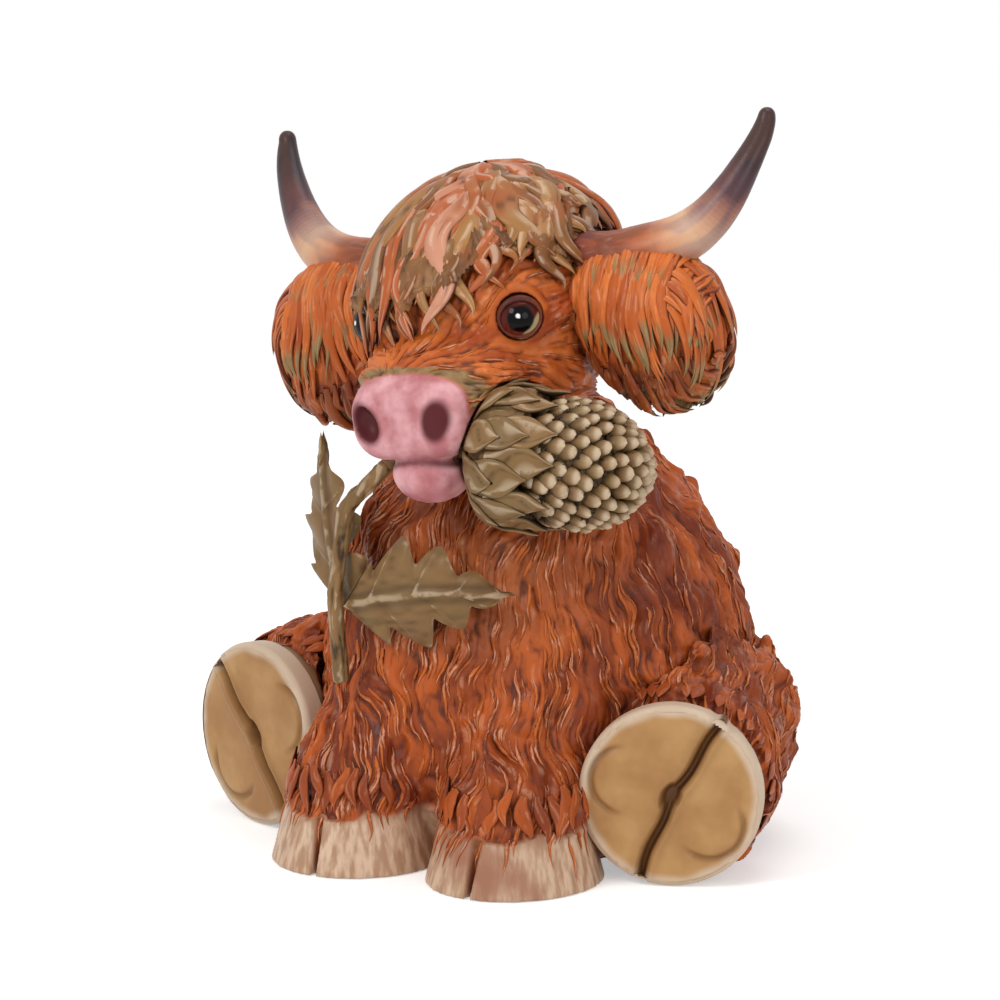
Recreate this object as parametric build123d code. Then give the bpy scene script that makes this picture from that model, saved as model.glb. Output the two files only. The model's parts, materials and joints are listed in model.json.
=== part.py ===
"""Seated shaggy calf with a thistle across its mouth: a hand-painted cold-cast resin ornament.

The calf faces -Y, its left side is +X and +Z is up. The castings are modelled about the ground point
midway between the front hooves, and the last step moves everything to the bottom centre of the figure.
Each casting is one node. Glued seats leave a thin gap for the adhesive.
"""
from build123d import *
import os
from math import asin, cos, pi, sin, sqrt

# Gaps and overruns
glue_gap = 0.2
overrun = 6.0

# Torso, as level ovals: shares of height, width, depth and setback
torso_height = 106.0
torso_width = 100.0
torso_depth = 110.0
torso_setback = 50.0
torso_shares = (
    (0.00, 0.80, 0.78, 1.12),
    (0.06, 0.92, 0.90, 1.10),
    (0.20, 1.00, 0.98, 1.04),
    (0.38, 1.01, 1.01, 1.02),
    (0.58, 0.92, 0.96, 1.00),
    (0.73, 0.77, 0.79, 0.96),
    (0.86, 0.60, 0.62, 0.88),
    (0.96, 0.50, 0.50, 0.80),
    (1.00, 0.38, 0.36, 0.76),
)
torso_wall = 9.0
cavity_height = 78.0

# Tufts of the coat: tapered locks, half sunk, that each stand a little proud of the surface
tuft_length = 17.0
tuft_root_width = 9.2
tuft_tip_width = 5.2
tuft_root_rise = 1.9
tuft_tip_rise = 1.2
tuft_sway = 7.0
tuft_clearance = 6.5
# Rows of tufts: share of height, number, and first and last angle from straight ahead to the left
torso_tuft_rows = (
    (0.88, 8, 66.0, 294.0),
    (0.73, 10, 52.0, 308.0),
    (0.57, 11, 58.0, 310.0),
    (0.42, 7, 120.0, 242.0),
    (0.27, 6, 128.0, 232.0),
)
ruff_tuft_rows = (
    (-20.0, 6, -80.0, 80.0),
    (18.0, 5, -64.0, 64.0),
)
leg_tuft_rows = (
    (0.80, 3, -50.0, 46.0),
    (0.50, 4, -70.0, 40.0),
)
# Rows over a haunch: tilt above level, number, first and last angle; then those round the lower leg
haunch_tuft_rows = (
    (66.0, 3, 110.0, 215.0),
    (40.0, 4, 82.0, 190.0),
    (12.0, 4, 70.0, 172.0),
)
shin_tuft_turns = (20.0, 54.0, 88.0, 122.0, 156.0)
shin_tuft_share = 0.62

# Chest ruff over the front legs
chest_setback = 24.0
chest_height = 69.0
chest_width = 62.0
chest_depth = 50.0
chest_tall = 58.0

# Front legs, as level ovals: shares of rise, width, half stance and shoulder setback
front_stance = 42.0
front_setback = 3.0
front_leg_rise = 68.0
front_leg_width = 37.0
shoulder_setback = 21.0
front_leg_shares = (
    (0.14, 0.90, 1.00, 0.00),
    (0.23, 0.98, 1.00, 0.02),
    (0.42, 0.92, 0.90, 0.25),
    (0.62, 0.86, 0.80, 0.52),
    (1.00, 0.96, 0.74, 1.00),
)
front_hoof_width = 41.4
front_hoof_length = 46.0
front_hoof_height = 16.5
hoof_top_share = 0.80
hoof_cleft_width = 2.2
hoof_cleft_depth = 8.0

# Haunches and hind legs
haunch_width = 54.0
haunch_depth = 68.0
haunch_tall = 52.0
haunch_side = 38.5
haunch_setback = 50.0
haunch_lift = 26.5
haunch_sag_right = 8.0
hind_splay = 23.0
hind_stance = 114.0
sole_setback = 14.0
sole_diameter = 44.0
hind_hoof_length = 13.0
hind_leg_reach = 34.0
hind_leg_width = 46.0
hind_fur_overhang = 2.4
hind_hoof_taper_share = 0.93
hind_hem_share = 0.80
hind_cuff_share = 1.20
hind_shin_share = 0.35
hind_hip_share = 0.90
sole_round = 1.6
sole_cleft_width = 3.4
sole_cleft_depth = 3.6
sole_pit_width = 5.0
sole_cleft_kink = 7.0
sole_moon_radius = 9.0
sole_moon_width = 1.8
sole_moon_depth = 0.9
sole_moon_turn = 30.0
cleft_roll_left = 27.0
cleft_roll_right = 40.0
hip_peg_diameter = 14.0
hip_peg_length = 9.0

# Tail, laid round the rump: shares of drop, side, backset and girth, and the turn of each ring
tail_thickness = 7.0
tail_drop = 42.0
tail_side = 30.0
tail_tuft_length = 22.0
tail_tuft_width = 13.0
tail_tuft_side_share = 1.22
tail_tuft_back_share = -0.38
tail_shares = (
    (1.00, 0.00, -0.10, 0.90, 0.0),
    (0.78, 0.06, 0.02, 1.00, 14.0),
    (0.52, 0.26, 0.04, 0.90, 36.0),
    (0.30, 0.60, -0.06, 0.80, 58.0),
    (0.16, 1.00, -0.26, 0.72, 74.0),
)

# Head frame: where the middle of the skull is, and how the head is held
head_side = 3.0
head_setback = 26.0
head_height = 130.0
head_yaw = -3.5
head_roll = 10.0
skull_width = 60.0
skull_depth = 62.0
skull_tall = 53.0
skull_lift = 2.5
cheek_width = 55.0
cheek_depth = 50.0
cheek_tall = 40.0
cheek_forward = 8.0
cheek_drop = 12.0
neck_peg_diameter = 24.0
neck_peg_length = 16.0

# Muzzle, as upright ovals: shares of reach, width, height and drop
muzzle_reach = 42.0
muzzle_width = 50.0
muzzle_tall = 38.0
muzzle_drop = 14.0
muzzle_shares = (
    (0.30, 1.00, 1.00, 0.80),
    (0.62, 0.90, 0.90, 0.90),
    (0.85, 0.76, 0.76, 1.02),
    (1.00, 0.62, 0.60, 1.08),
)
nose_width = 31.5
nose_tall = 19.0
nose_depth = 15.0
nose_corner = 8.0
nose_round = 5.0
nose_front = 46.0
nose_drop = 16.6
nostril_spread = 20.0
nostril_width = 6.4
nostril_tall = 9.0
nostril_depth = 8.0
nostril_tilt = 24.0
lip_width = 20.0
lip_tall = 15.0
lip_depth = 18.0
lip_forward = 35.0
lip_drop = 30.3

# Eyes
eye_diameter = 11.0
eye_side = 20.5
eye_forward = 20.5
eye_lift = 3.0
eye_bulge = 2.2
eye_thick = 5.0
eye_turn = 38.0
eye_lid = 1.5

# Ears, as upright ovals along the ear: shares of length, depth, height and drop
ear_root = 24.0
ear_length = 38.0
ear_back = 1.0
ear_drop = 6.5
ear_depth = 25.0
ear_tall = 40.0
ear_shares = (
    (0.00, 0.50, 0.40, -0.30),
    (0.22, 0.86, 0.80, 0.40),
    (0.50, 1.00, 1.00, 1.00),
    (0.76, 0.88, 0.86, 1.10),
    (0.93, 0.56, 0.54, 1.10),
    (1.00, 0.22, 0.24, 1.10),
)
ear_cup_share = 0.56
ear_cup_width = 18.0
ear_cup_depth = 13.0
ear_cup_tall = 34.0
ear_cup_forward = 4.0
ear_tenon_deep = 12.0
ear_tenon_tall = 8.0
ear_tenon_length = 9.0

# Horns: sections along the horn, as shares of span, rise, backset and girth
horn_root_left = 26.9
horn_root_right = 23.1
horn_root_lift = 13.0
horn_span = 44.0
horn_rise = 28.0
horn_backset = 20.0
horn_girth = 13.4
horn_peg_diameter = 9.0
horn_peg_length = 6.0
horn_shares = (
    (0.00, 0.00, 0.00, 0.95, 0.0),
    (0.24, -0.02, 0.05, 1.00, 3.0),
    (0.47, 0.03, 0.15, 0.96, 15.0),
    (0.68, 0.17, 0.32, 0.84, 38.0),
    (0.85, 0.46, 0.56, 0.66, 58.0),
    (0.96, 0.78, 0.82, 0.48, 72.0),
    (1.00, 1.00, 1.00, 0.33, 78.0),
)
horn_pin_diameter = 3.0
horn_pin_length = 22.0
horn_pin_side = 15.0

# Forelock: a cap of locks over the poll
cap_thickness = 4.6
cap_lift = 0.5
cap_back_share = 0.15
crown_back = 3.0
lock_width = 9.0
lock_thick = 6.0
lock_rings = (
    (17, 0.60, 1.66, 0.0),
    (13, 0.30, 1.16, 0.4),
    (8, 0.08, 0.70, 0.7),
)
lock_step_share = 0.05
lock_thinning_share = 0.35
lock_sway_share = 0.10
lock_sway_turns = 5
fringe_parting = 0.30
fringe_parting_turn = 60.0
fringe_back_lift = 0.30
lock_shares = (
    (0.00, 0.45, 0.60),
    (0.30, 0.95, 1.00),
    (0.60, 1.00, 0.95),
    (0.85, 0.62, 0.70),
    (1.00, 0.16, 0.24),
)

# Thistle
mouth_gap = 0.2
mouth_forward = 34.0
mouth_drop = 26.0
mouth_half = 10.0
stem_diameter = 4.2
stem_bend = 9.0
stem_seat = 5.0
wire_diameter = 1.4
wire_gap = 0.05
stem_foot = (-20.0, -7.6, 45.0)
stem_waist = (-21.0, -9.4, 66.0)
stem_neck = (-18.0, -9.4, 88.0)
thistle_heading = 12.0
thistle_dip = 3.0
calyx_length = 17.0
calyx_diameter = 33.0
calyx_shares = (
    (0.82, 0.30),
    (1.00, 0.72),
    (0.96, 1.00),
)
bract_thick = 1.5
bract_thinning_share = 0.25
bract_ring_count = 9
bract_root_share = 0.60
bract_belly_share = 0.86
bract_belly_height_share = 0.55
bract_rings = (
    (0.10, 0.72, 0.0),
    (0.38, 1.00, 0.5),
    (0.62, 1.30, 0.0),
)
flower_length = 27.0
flower_diameter = 34.0
flower_neck_share = 0.80
flower_belly_share = 0.40
flower_shoulder_share = 0.80
flower_close_share = 0.98
floret_diameter = 3.8
floret_length = 5.2
floret_count = 130
floret_batch = 25
floret_steps = 400
floret_shank_share = 0.66
floret_sink = 1.7
floret_start_share = 0.11
floret_end_share = 0.96
floret_lean = 34.0
floret_tip_lean = 46.0
flower_peg_diameter = 8.0
flower_peg_length = 7.0

# Leaves, cut from two sleeves about one upright axis in front of the chest
leaf_axis_setback = 36.0
leaf_axis_side = -2.0
leaf_thickness = 2.0
leaf_rib = 2.6
front_leaf_radius = 47.4
front_leaf_length = 45.0
front_leaf_width = 25.0
front_leaf_height = 65.0
front_leaf_slope = 10.0
rear_leaf_length = 40.0
rear_leaf_width = 30.0
rear_leaf_height = 82.0
rear_leaf_slope = 104.0
leaf_rib_share = 0.86

# Leaf edges, as shares of length and width: for each lobe its tip, then the notch behind it
front_upper_shares = (
    ((0.10, 0.36), (0.22, 0.14)),
    ((0.44, 0.66), (0.54, 0.20)),
    ((0.66, 0.42), (0.74, 0.14)),
    ((0.84, 0.22), (0.90, 0.08)),
)
front_lower_shares = (
    ((0.02, -0.42), (0.16, -0.20)),
    ((0.26, -0.40), (0.36, -0.22)),
    ((0.56, -0.34), (0.66, -0.18)),
    ((0.82, -0.18), (0.90, -0.10)),
)
rear_upper_shares = (
    ((0.16, 0.40), (0.28, 0.24)),
    ((0.42, 0.52), (0.54, 0.28)),
    ((0.68, 0.40), (0.80, 0.16)),
)
rear_lower_shares = (
    ((0.16, -0.40), (0.28, -0.22)),
    ((0.42, -0.50), (0.54, -0.26)),
    ((0.68, -0.36), (0.80, -0.14)),
)

# Base
plug_diameter = 22.0
plug_taper = 2.0
plug_setback = 54.0
felt_thickness = 1.0
felt_width = 64.0
felt_depth = 66.0
felt_setback = 54.0


def blob(centre, width, depth, tall):
    """A rounded mass: a ball stretched to its three diameters."""
    return Pos(*centre) * scale(Sphere(1), by=(width / 2, depth / 2, tall / 2))


def mirror_sides(shape, side):
    """The shape as modelled for the left (+X) side, or its mirror image for the right."""
    return shape if side > 0 else mirror(shape, about=Plane.YZ)


def head_frame():
    """The skull's own frame in the figure: X to the calf's left, -Y ahead, Z up."""
    return Pos(head_side, head_setback, head_height) * Rot(Z=head_yaw) * Rot(Y=-head_roll)


def torso_form(grow):
    """The torso as a loft through level ovals, each grown by the same margin."""
    ovals = []
    for up, wide, deep, back in torso_shares:
        oval = Ellipse(torso_width * wide / 2 + grow, torso_depth * deep / 2 + grow)
        ovals.append(Pos(0, torso_setback * back, torso_height * up) * oval)
    return loft(ovals)


def along_shares(table, share, column):
    """A column of a table of shares, read between its rows."""
    for low, high in zip(table, table[1:]):
        if share <= high[0]:
            run = (share - low[0]) / (high[0] - low[0])
            return low[column] + (high[column] - low[column]) * run
    return table[-1][column]


def tuft(start, end, out):
    """A lock of the coat from its broad root to its narrower tip, sunk into the surface under it."""
    root, tip = tuft_root_width / 2, tuft_tip_width / 2
    outline = [
        Line((-root, 0), (tuft_length + tip, 0)),
        ThreePointArc((-root, 0), (-root * cos(pi / 4), root * sin(pi / 4)), (0, root)),
        Line((0, root), (tuft_length, tip)),
        ThreePointArc((tuft_length, tip), (tuft_length + tip * cos(pi / 4), tip * sin(pi / 4)),
                      (tuft_length + tip, 0)),
    ]
    spindle = revolve(make_face(outline), Axis.X)
    out = out.normalized()
    start -= out * (root - tuft_root_rise)
    ahead = end - out * (tip - tuft_tip_rise) - start
    return Plane(origin=start, x_dir=ahead, z_dir=ahead.cross(out)) * spindle


def spread(first, last, count):
    """Evenly spaced angles from first to last."""
    return [first + (last - first) * index / (count - 1) for index in range(count)]


def tufts_in_rows(surface, rows):
    """Rows of tufts on a surface, which gives the point and outward direction at (row, drop, turn)."""
    tufts = []
    for row, (level, count, first, last) in enumerate(rows):
        for index, turn in enumerate(spread(first, last, count)):
            start, out = surface(level, 0, turn)
            end, out_below = surface(level, tuft_length, turn + tuft_sway * sin(2 * index + row))
            if clear_of_haunches(start) and clear_of_haunches(end):
                tufts.append(tuft(start, end, out + out_below))
    return tufts


def clear_of_haunches(point):
    """Whether a point on the body lies outside both haunches, which cover it there."""
    for side, sag in ((1, 0), (-1, haunch_sag_right)):
        across = (point.X - side * haunch_side) / (haunch_width / 2 + tuft_clearance)
        along = (point.Y - haunch_setback) / (haunch_depth / 2 + tuft_clearance)
        up = (point.Z - haunch_lift + sag) / (haunch_tall / 2 + tuft_clearance)
        if across * across + along * along + up * up < 1:
            return False
    return True


def torso_surface(level, drop, turn):
    """A point on the torso, a drop below a share of its height."""
    share = max(level - drop / torso_height, 0)
    half_width = torso_width * along_shares(torso_shares, share, 1) / 2
    half_depth = torso_depth * along_shares(torso_shares, share, 2) / 2
    angle = turn * pi / 180
    centre = torso_setback * along_shares(torso_shares, share, 3)
    point = Vector(half_width * sin(angle), centre - half_depth * cos(angle), torso_height * share)
    return point, Vector(sin(angle) / half_width, -cos(angle) / half_depth, 0).normalized()


def ruff_surface(tilt, drop, turn):
    """A point on the chest ruff, a drop round it below a tilt under level."""
    fall = tilt * pi / 180 + 2 * drop / chest_tall
    angle = turn * pi / 180
    out = Vector(cos(fall) * sin(angle), -cos(fall) * cos(angle), -sin(fall))
    point = Vector(out.X * chest_width / 2, out.Y * chest_depth / 2, out.Z * chest_tall / 2)
    return point + Vector(0, chest_setback, chest_height), out


def leg_surface(side):
    """The surface of one front leg."""
    def surface(level, drop, turn):
        share = max(level - drop / front_leg_rise, front_leg_shares[0][0])
        radius = front_leg_width * along_shares(front_leg_shares, share, 1) / 2
        across = side * front_stance * along_shares(front_leg_shares, share, 2) / 2
        back = front_setback + shoulder_setback * along_shares(front_leg_shares, share, 3)
        angle = side * turn * pi / 180
        out = Vector(sin(angle), -cos(angle), 0)
        return Vector(across, back, front_leg_rise * share) + out * radius, out
    return surface


def haunch_surface(sag):
    """The surface of the left haunch; its tufts sweep forward round it."""
    def surface(tilt, drop, turn):
        rise = tilt * pi / 180
        angle = turn * pi / 180 - 2 * drop / haunch_depth
        way = Vector(cos(rise) * sin(angle), -cos(rise) * cos(angle), sin(rise))
        point = Vector(way.X * haunch_width / 2, way.Y * haunch_depth / 2, way.Z * haunch_tall / 2)
        return point + Vector(haunch_side, haunch_setback, haunch_lift - sag), way
    return surface


def body_tufts():
    """All the tufts of the body casting."""
    tufts = tufts_in_rows(torso_surface, torso_tuft_rows) + tufts_in_rows(ruff_surface, ruff_tuft_rows)
    for side in (1, -1):
        tufts += tufts_in_rows(leg_surface(side), leg_tuft_rows)
    return tufts


def hind_tufts(sag):
    """The tufts of the left haunch and of the lower leg in front of it."""
    surface = haunch_surface(sag)
    tufts = []
    for row, (tilt, count, first, last) in enumerate(haunch_tuft_rows):
        for index, turn in enumerate(spread(first, last, count)):
            start, out = surface(tilt, 0, turn)
            end, out_ahead = surface(tilt + tuft_sway * sin(2 * index + row), tuft_length, turn)
            tufts.append(tuft(start, end, out + out_ahead))
    frame = sole_frame()
    start_back = hind_hoof_length + hind_leg_reach * shin_tuft_share
    for turn in shin_tuft_turns:
        angle = turn * pi / 180
        out = Vector(cos(angle), sin(angle), 0)
        middle = Vector(0, hind_fur_overhang, 0)
        start = middle + out * hind_leg_width / 2 - Vector(0, 0, start_back)
        end = middle + out * hind_leg_width / 2 - Vector(0, 0, start_back - tuft_length)
        tufts.append(frame * tuft(start, end, out))
    return tufts


def chest_form(grow):
    """The fluffy ruff that hangs over the tops of the front legs."""
    centre = (0, chest_setback, chest_height)
    return blob(centre, chest_width + 2 * grow, chest_depth + 2 * grow, chest_tall + 2 * grow)


def front_leg_form(side, grow):
    """One front leg from the hem of fur over the hoof up into the shoulder, grown by a margin."""
    ovals = []
    for up, wide, out, back in front_leg_shares:
        oval = Circle(front_leg_width * wide / 2 + grow)
        across = side * front_stance * out / 2
        place = Pos(across, front_setback + shoulder_setback * back, front_leg_rise * up)
        ovals.append(place * oval)
    return loft(ovals)


def front_hoof_form(side, grow):
    """A hoof as a flaring loft, grown by a margin."""
    place = Pos(side * front_stance / 2, front_setback, 0)
    foot = Ellipse(front_hoof_width / 2 + grow, front_hoof_length / 2 + grow)
    top_width = front_hoof_width * hoof_top_share / 2 + grow
    top = Ellipse(top_width, front_hoof_length * hoof_top_share / 2 + grow)
    return loft([place * foot, place * Pos(0, 0, front_hoof_height) * top])


def front_cleft(side):
    """The wedge that splits a front hoof into two toes."""
    half = hoof_cleft_width / 2
    wedge = Polygon((-half, 0), (half, 0), (0, hoof_cleft_depth), align=None)
    front = Pos(side * front_stance / 2, front_setback - front_hoof_length / 2 - hoof_cleft_width, 0)
    return front * extrude(wedge, front_hoof_height)


def tail_form():
    """The tail, a tapering rope of hair down the rump that ends in a tuft on the left."""
    rump = torso_setback + torso_depth / 2
    rings = []
    for drop, aside, back, girth, turn in tail_shares:
        place = Pos(tail_side * aside, rump + tail_side * back, tail_drop * drop)
        rings.append(place * Rot(Y=180 - turn) * Circle(tail_thickness * girth / 2))
    tuft_back = rump + tail_side * tail_tuft_back_share
    tuft_place = (tail_side * tail_tuft_side_share, tuft_back, tail_tuft_width / 2)
    tuft = blob(tuft_place, tail_tuft_length, tail_tuft_width, tail_tuft_width)
    return loft(rings) + tuft


def haunch_form(grow, sag):
    """The left thigh mass beside the rump, let down by its sag."""
    centre = (haunch_side, haunch_setback, haunch_lift - sag)
    return blob(centre, haunch_width + 2 * grow, haunch_depth + 2 * grow, haunch_tall + 2 * grow)


def sole_frame():
    """The left sole: origin at its middle, Z out of the sole, X across it to the calf's left."""
    place = Pos(hind_stance / 2, sole_setback, sole_diameter / 2)
    return place * Rot(Z=hind_splay) * Rot(X=90)


def sole_marks(roll):
    """What is cut into a sole: the cleft in two runs, the pit where they meet, and two crescents."""
    half = sole_cleft_width / 2
    run = sole_diameter / 2 + overrun
    wedge = Polygon((-half, overrun), (half, overrun), (0, -sole_cleft_depth), align=None)
    cleft = Rot(X=90) * extrude(wedge, run)
    moon = Circle(sole_moon_radius) - Pos(sole_moon_width, 0) * Circle(sole_moon_radius)
    crescent = Pos(0, 0, -sole_moon_depth) * extrude(moon, sole_moon_depth + overrun)
    spread = sole_moon_radius + sole_cleft_width
    marks = (
        Rot(Z=sole_cleft_kink) * cleft,
        Rot(Z=180 - sole_cleft_kink) * cleft,
        blob((0, 0, 0), sole_pit_width, 2 * sole_pit_width, 2 * sole_cleft_depth),
        Pos(spread, -sole_moon_width, 0) * Rot(Z=180 - sole_moon_turn) * crescent,
        Pos(-spread, -sole_moon_width, 0) * Rot(Z=sole_moon_turn) * crescent,
    )
    return [Rot(Z=-roll) * mark for mark in marks]


def hind_leg(side):
    """Haunch, lower leg and hoof, seated against the torso by a peg."""
    frame = sole_frame()
    radius = sole_diameter / 2
    inner = frame * Pos(0, 0, -hind_hoof_length) * Circle(radius * hind_hoof_taper_share)
    hoof = loft([frame * Circle(radius), inner])
    hoof = fillet(hoof.faces().sort_by_distance(frame.position)[0].edges(), sole_round)
    hem = frame * Pos(0, 0, -hind_hoof_length * hind_hem_share)
    cuff = frame * Pos(0, hind_fur_overhang / 2, -hind_hoof_length * hind_cuff_share)
    shin = frame * Pos(0, hind_fur_overhang, -hind_hoof_length - hind_leg_reach * hind_shin_share)
    hip = frame * Pos(0, hind_fur_overhang, -hind_hoof_length - hind_leg_reach)
    leg = loft([
        hem * Circle(radius + hind_fur_overhang / 2),
        cuff * Circle(radius + hind_fur_overhang),
        shin * Circle(hind_leg_width / 2),
        hip * Circle(hind_leg_width * hind_hip_share / 2),
    ])
    roll = cleft_roll_left if side > 0 else cleft_roll_right
    for mark in sole_marks(roll):
        hoof -= frame * mark
    form = haunch_form(0, 0 if side > 0 else haunch_sag_right) + leg + hoof
    for lock_of_hair in hind_tufts(0 if side > 0 else haunch_sag_right):
        form += lock_of_hair
    ground = Pos(0, 0, -haunch_tall / 2) * Box(8 * haunch_width, 4 * haunch_depth, haunch_tall)
    form = form - ground - torso_form(glue_gap) - front_leg_form(1, glue_gap) - front_hoof_form(1, glue_gap)
    form += hip_peg(hip_peg_diameter, hip_peg_length)
    return mirror_sides(form, side)


def hip_peg(diameter, length):
    """The peg between haunch and torso, level and square to the side of the torso."""
    start = Pos(torso_width / 2 + hip_peg_length / 2, haunch_setback, haunch_lift)
    reach = length + hip_peg_length / 2
    return start * Rot(Y=-90) * Cylinder(diameter / 2, reach, align=(Align.CENTER, Align.CENTER, Align.MIN))


def neck_peg(diameter, length):
    """The peg that carries the head, straight down from the middle of the skull."""
    reach = head_height - torso_height + length + neck_peg_length
    place = Pos(0, torso_setback * torso_shares[-1][3], head_height - skull_tall / 4)
    return place * Cylinder(diameter / 2, reach, align=(Align.CENTER, Align.CENTER, Align.MAX))


def skull_form(grow):
    """Skull and cheeks in the head's own frame."""
    skull = blob((0, 0, skull_lift), skull_width + 2 * grow, skull_depth + 2 * grow, skull_tall + 2 * grow)
    cheeks = blob((0, -cheek_forward, -cheek_drop), cheek_width + 2 * grow, cheek_depth + 2 * grow,
                  cheek_tall + 2 * grow)
    return skull + cheeks


def muzzle_form():
    """The furry muzzle as a loft of upright ovals that shrink towards the nose."""
    ovals = []
    for ahead, wide, tall, drop in muzzle_shares:
        place = Pos(0, -muzzle_reach * ahead, -muzzle_drop * drop) * Rot(X=90)
        ovals.append(place * Ellipse(muzzle_width * wide / 2, muzzle_tall * tall / 2))
    return loft(ovals)


def nose_form():
    """The bare nose pad with its two slanted nostrils."""
    back = Pos(0, -nose_front + nose_depth, -nose_drop) * Rot(X=90)
    pad = extrude(back * RectangleRounded(nose_width, nose_tall, nose_corner), nose_depth)
    pad = fillet(pad.faces().sort_by(Axis.Y)[0].edges(), nose_round)
    for side in (1, -1):
        centre = Pos(side * nostril_spread / 2, -nose_front, -nose_drop)
        tilt = Rot(Y=side * nostril_tilt)
        pad -= centre * tilt * blob((0, 0, 0), nostril_width, nostril_depth, nostril_tall)
    return pad


def eye_place(side):
    """Where an eye sits: Z looks out of the socket."""
    flip = Pos(side * eye_side, -eye_forward, eye_lift)
    return flip * Rot(Z=side * eye_turn) * Rot(X=90)


def eye_solid(grow):
    """A flat-backed glossy dome."""
    ball = Sphere(eye_diameter / 2 + grow)
    back = -eye_thick + eye_bulge - grow
    front = Box(3 * eye_diameter, 3 * eye_diameter, 3 * eye_diameter,
                align=(Align.CENTER, Align.CENTER, Align.MIN))
    return ball & Pos(0, 0, back) * front


def head_casting():
    """Skull, cheeks, muzzle, nose, lip and lids, with the seats of all that is glued to them."""
    frame = head_frame()
    form = skull_form(0) + muzzle_form() + nose_form()
    form += blob((0, -lip_forward, -lip_drop), lip_width, lip_depth, lip_tall)
    for side in (1, -1):
        lid = Torus(eye_diameter / 2, eye_lid)
        form += eye_place(side) * Pos(0, 0, -eye_bulge / 2) * lid
        form -= eye_place(side) * eye_solid(glue_gap)
        form -= horn_peg_solid(side, glue_gap)
        form -= horn_pin_solid(side, glue_gap / 2)
        form -= ear_tenon_solid(side, glue_gap)
    form = frame * form + neck_peg(neck_peg_diameter, 0)
    form -= thistle_frame() * calyx_form(bract_thick + glue_gap)
    return form - stem_solid(stem_diameter + 2 * mouth_gap)


def horn_root(side):
    """How far from the middle of the skull a horn is rooted: the two are not quite alike."""
    return horn_root_left if side > 0 else horn_root_right


def horn_place(side, share):
    """The frame of one horn section in the head's own frame, drawn as for the left side."""
    out, up, back, girth, turn = share
    place = Pos(horn_root(side) + horn_span * out, horn_backset * back, horn_root_lift + horn_rise * up)
    return place * Rot(Y=90 - turn)


def horn_form(side, grow):
    """A horn: out from the poll, then up and a little back to a blunt tip."""
    rings = [horn_place(side, share) * Circle(horn_girth * share[3] / 2 + grow) for share in horn_shares]
    tip = horn_place(side, horn_shares[-1]) * Sphere(horn_girth * horn_shares[-1][3] / 2 + grow)
    return mirror_sides(loft(rings) + tip, side)


def horn(side):
    """A horn with its peg, bored for the dowel."""
    form = horn_form(side, 0) - skull_form(glue_gap) + horn_peg_solid(side, 0)
    form -= horn_pin_solid(side, glue_gap / 2)
    return head_frame() * form


def horn_peg_solid(side, grow):
    """The peg of a horn, into the skull."""
    reach = horn_peg_length + horn_girth
    place = Pos(side * (horn_root(side) + horn_girth / 2), 0, horn_root_lift)
    peg = Cylinder(horn_peg_diameter / 2 + grow, reach + grow, align=(Align.CENTER, Align.CENTER, Align.MIN))
    return place * Rot(Y=-side * 90) * peg


def horn_pin_solid(side, grow):
    """The steel dowel inside peg and horn."""
    place = Pos(side * horn_pin_side, 0, horn_root_lift)
    pin = Cylinder(horn_pin_diameter / 2 + grow, horn_pin_length + 2 * grow,
                   align=(Align.CENTER, Align.CENTER, Align.MIN))
    return place * Rot(Y=side * 90) * Pos(0, 0, -grow) * pin


def ear_tenon_solid(side, grow):
    """The flat tenon of an ear, into the side of the skull."""
    reach = ear_tenon_length + ear_length / 3 + grow
    inner = skull_width / 2 - ear_tenon_length - grow
    bar = Box(reach, ear_tenon_deep + 2 * grow, ear_tenon_tall + 2 * grow,
              align=(Align.MIN, Align.CENTER, Align.CENTER))
    return mirror_sides(Pos(inner, ear_back, -ear_drop / 2) * bar, side)


def ear_shell(grow):
    """The outside of the left ear: upright ovals lofted outwards."""
    ovals = []
    for out, deep, tall, drop in ear_shares:
        place = Pos(ear_root + ear_length * out, ear_back, -ear_drop * drop) * Rot(Y=90)
        ovals.append(place * Ellipse(ear_tall * tall / 2 + grow, ear_depth * deep / 2 + grow))
    return loft(ovals)


def ear(side):
    """A drooping cupped ear, hollowed from below and in front, seated under the horn."""
    cup_side = ear_root + ear_length * ear_cup_share
    cup_place = Pos(cup_side, ear_back - ear_cup_forward, -ear_drop - ear_tall / 2)
    shell = ear_shell(0) - cup_place * blob((0, 0, 0), ear_cup_width, ear_cup_depth, ear_cup_tall)
    shell = mirror_sides(shell, side) - skull_form(glue_gap) - horn_form(side, glue_gap)
    return head_frame() * (shell + ear_tenon_solid(side, 0))


def cap_point(polar, around, rise):
    """A point over the skull, by its angle down from the crown and the way it faces."""
    crown = cap_lift + skull_lift
    x = (skull_width / 2 + rise) * sin(polar) * sin(around)
    y = -(skull_depth / 2 + rise) * sin(polar) * cos(around)
    z = crown + (skull_tall / 2 + rise) * cos(polar)
    return Vector(x, y + crown_back * cos(polar), z)


def lock(around, start, end):
    """One tapering wavy lock that lies on the cap and ends in a pointed tip."""
    ovals = []
    for along, wide, thick in lock_shares:
        polar = start + (end - start) * along
        sway = around + lock_sway_share * sin(2 * pi * along + lock_sway_turns * around)
        rise = cap_thickness * (1 - lock_thinning_share * along)
        here = cap_point(polar, sway, rise)
        ahead = cap_point(polar + lock_step_share, sway, rise)
        out = cap_point(polar, sway, 2 * rise)
        plane = Plane(origin=here, x_dir=(ahead - here).cross(out - here), z_dir=ahead - here)
        ovals.append(plane * Ellipse(lock_width * wide / 2, lock_thick * thick / 2))
    return loft(ovals)


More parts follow.
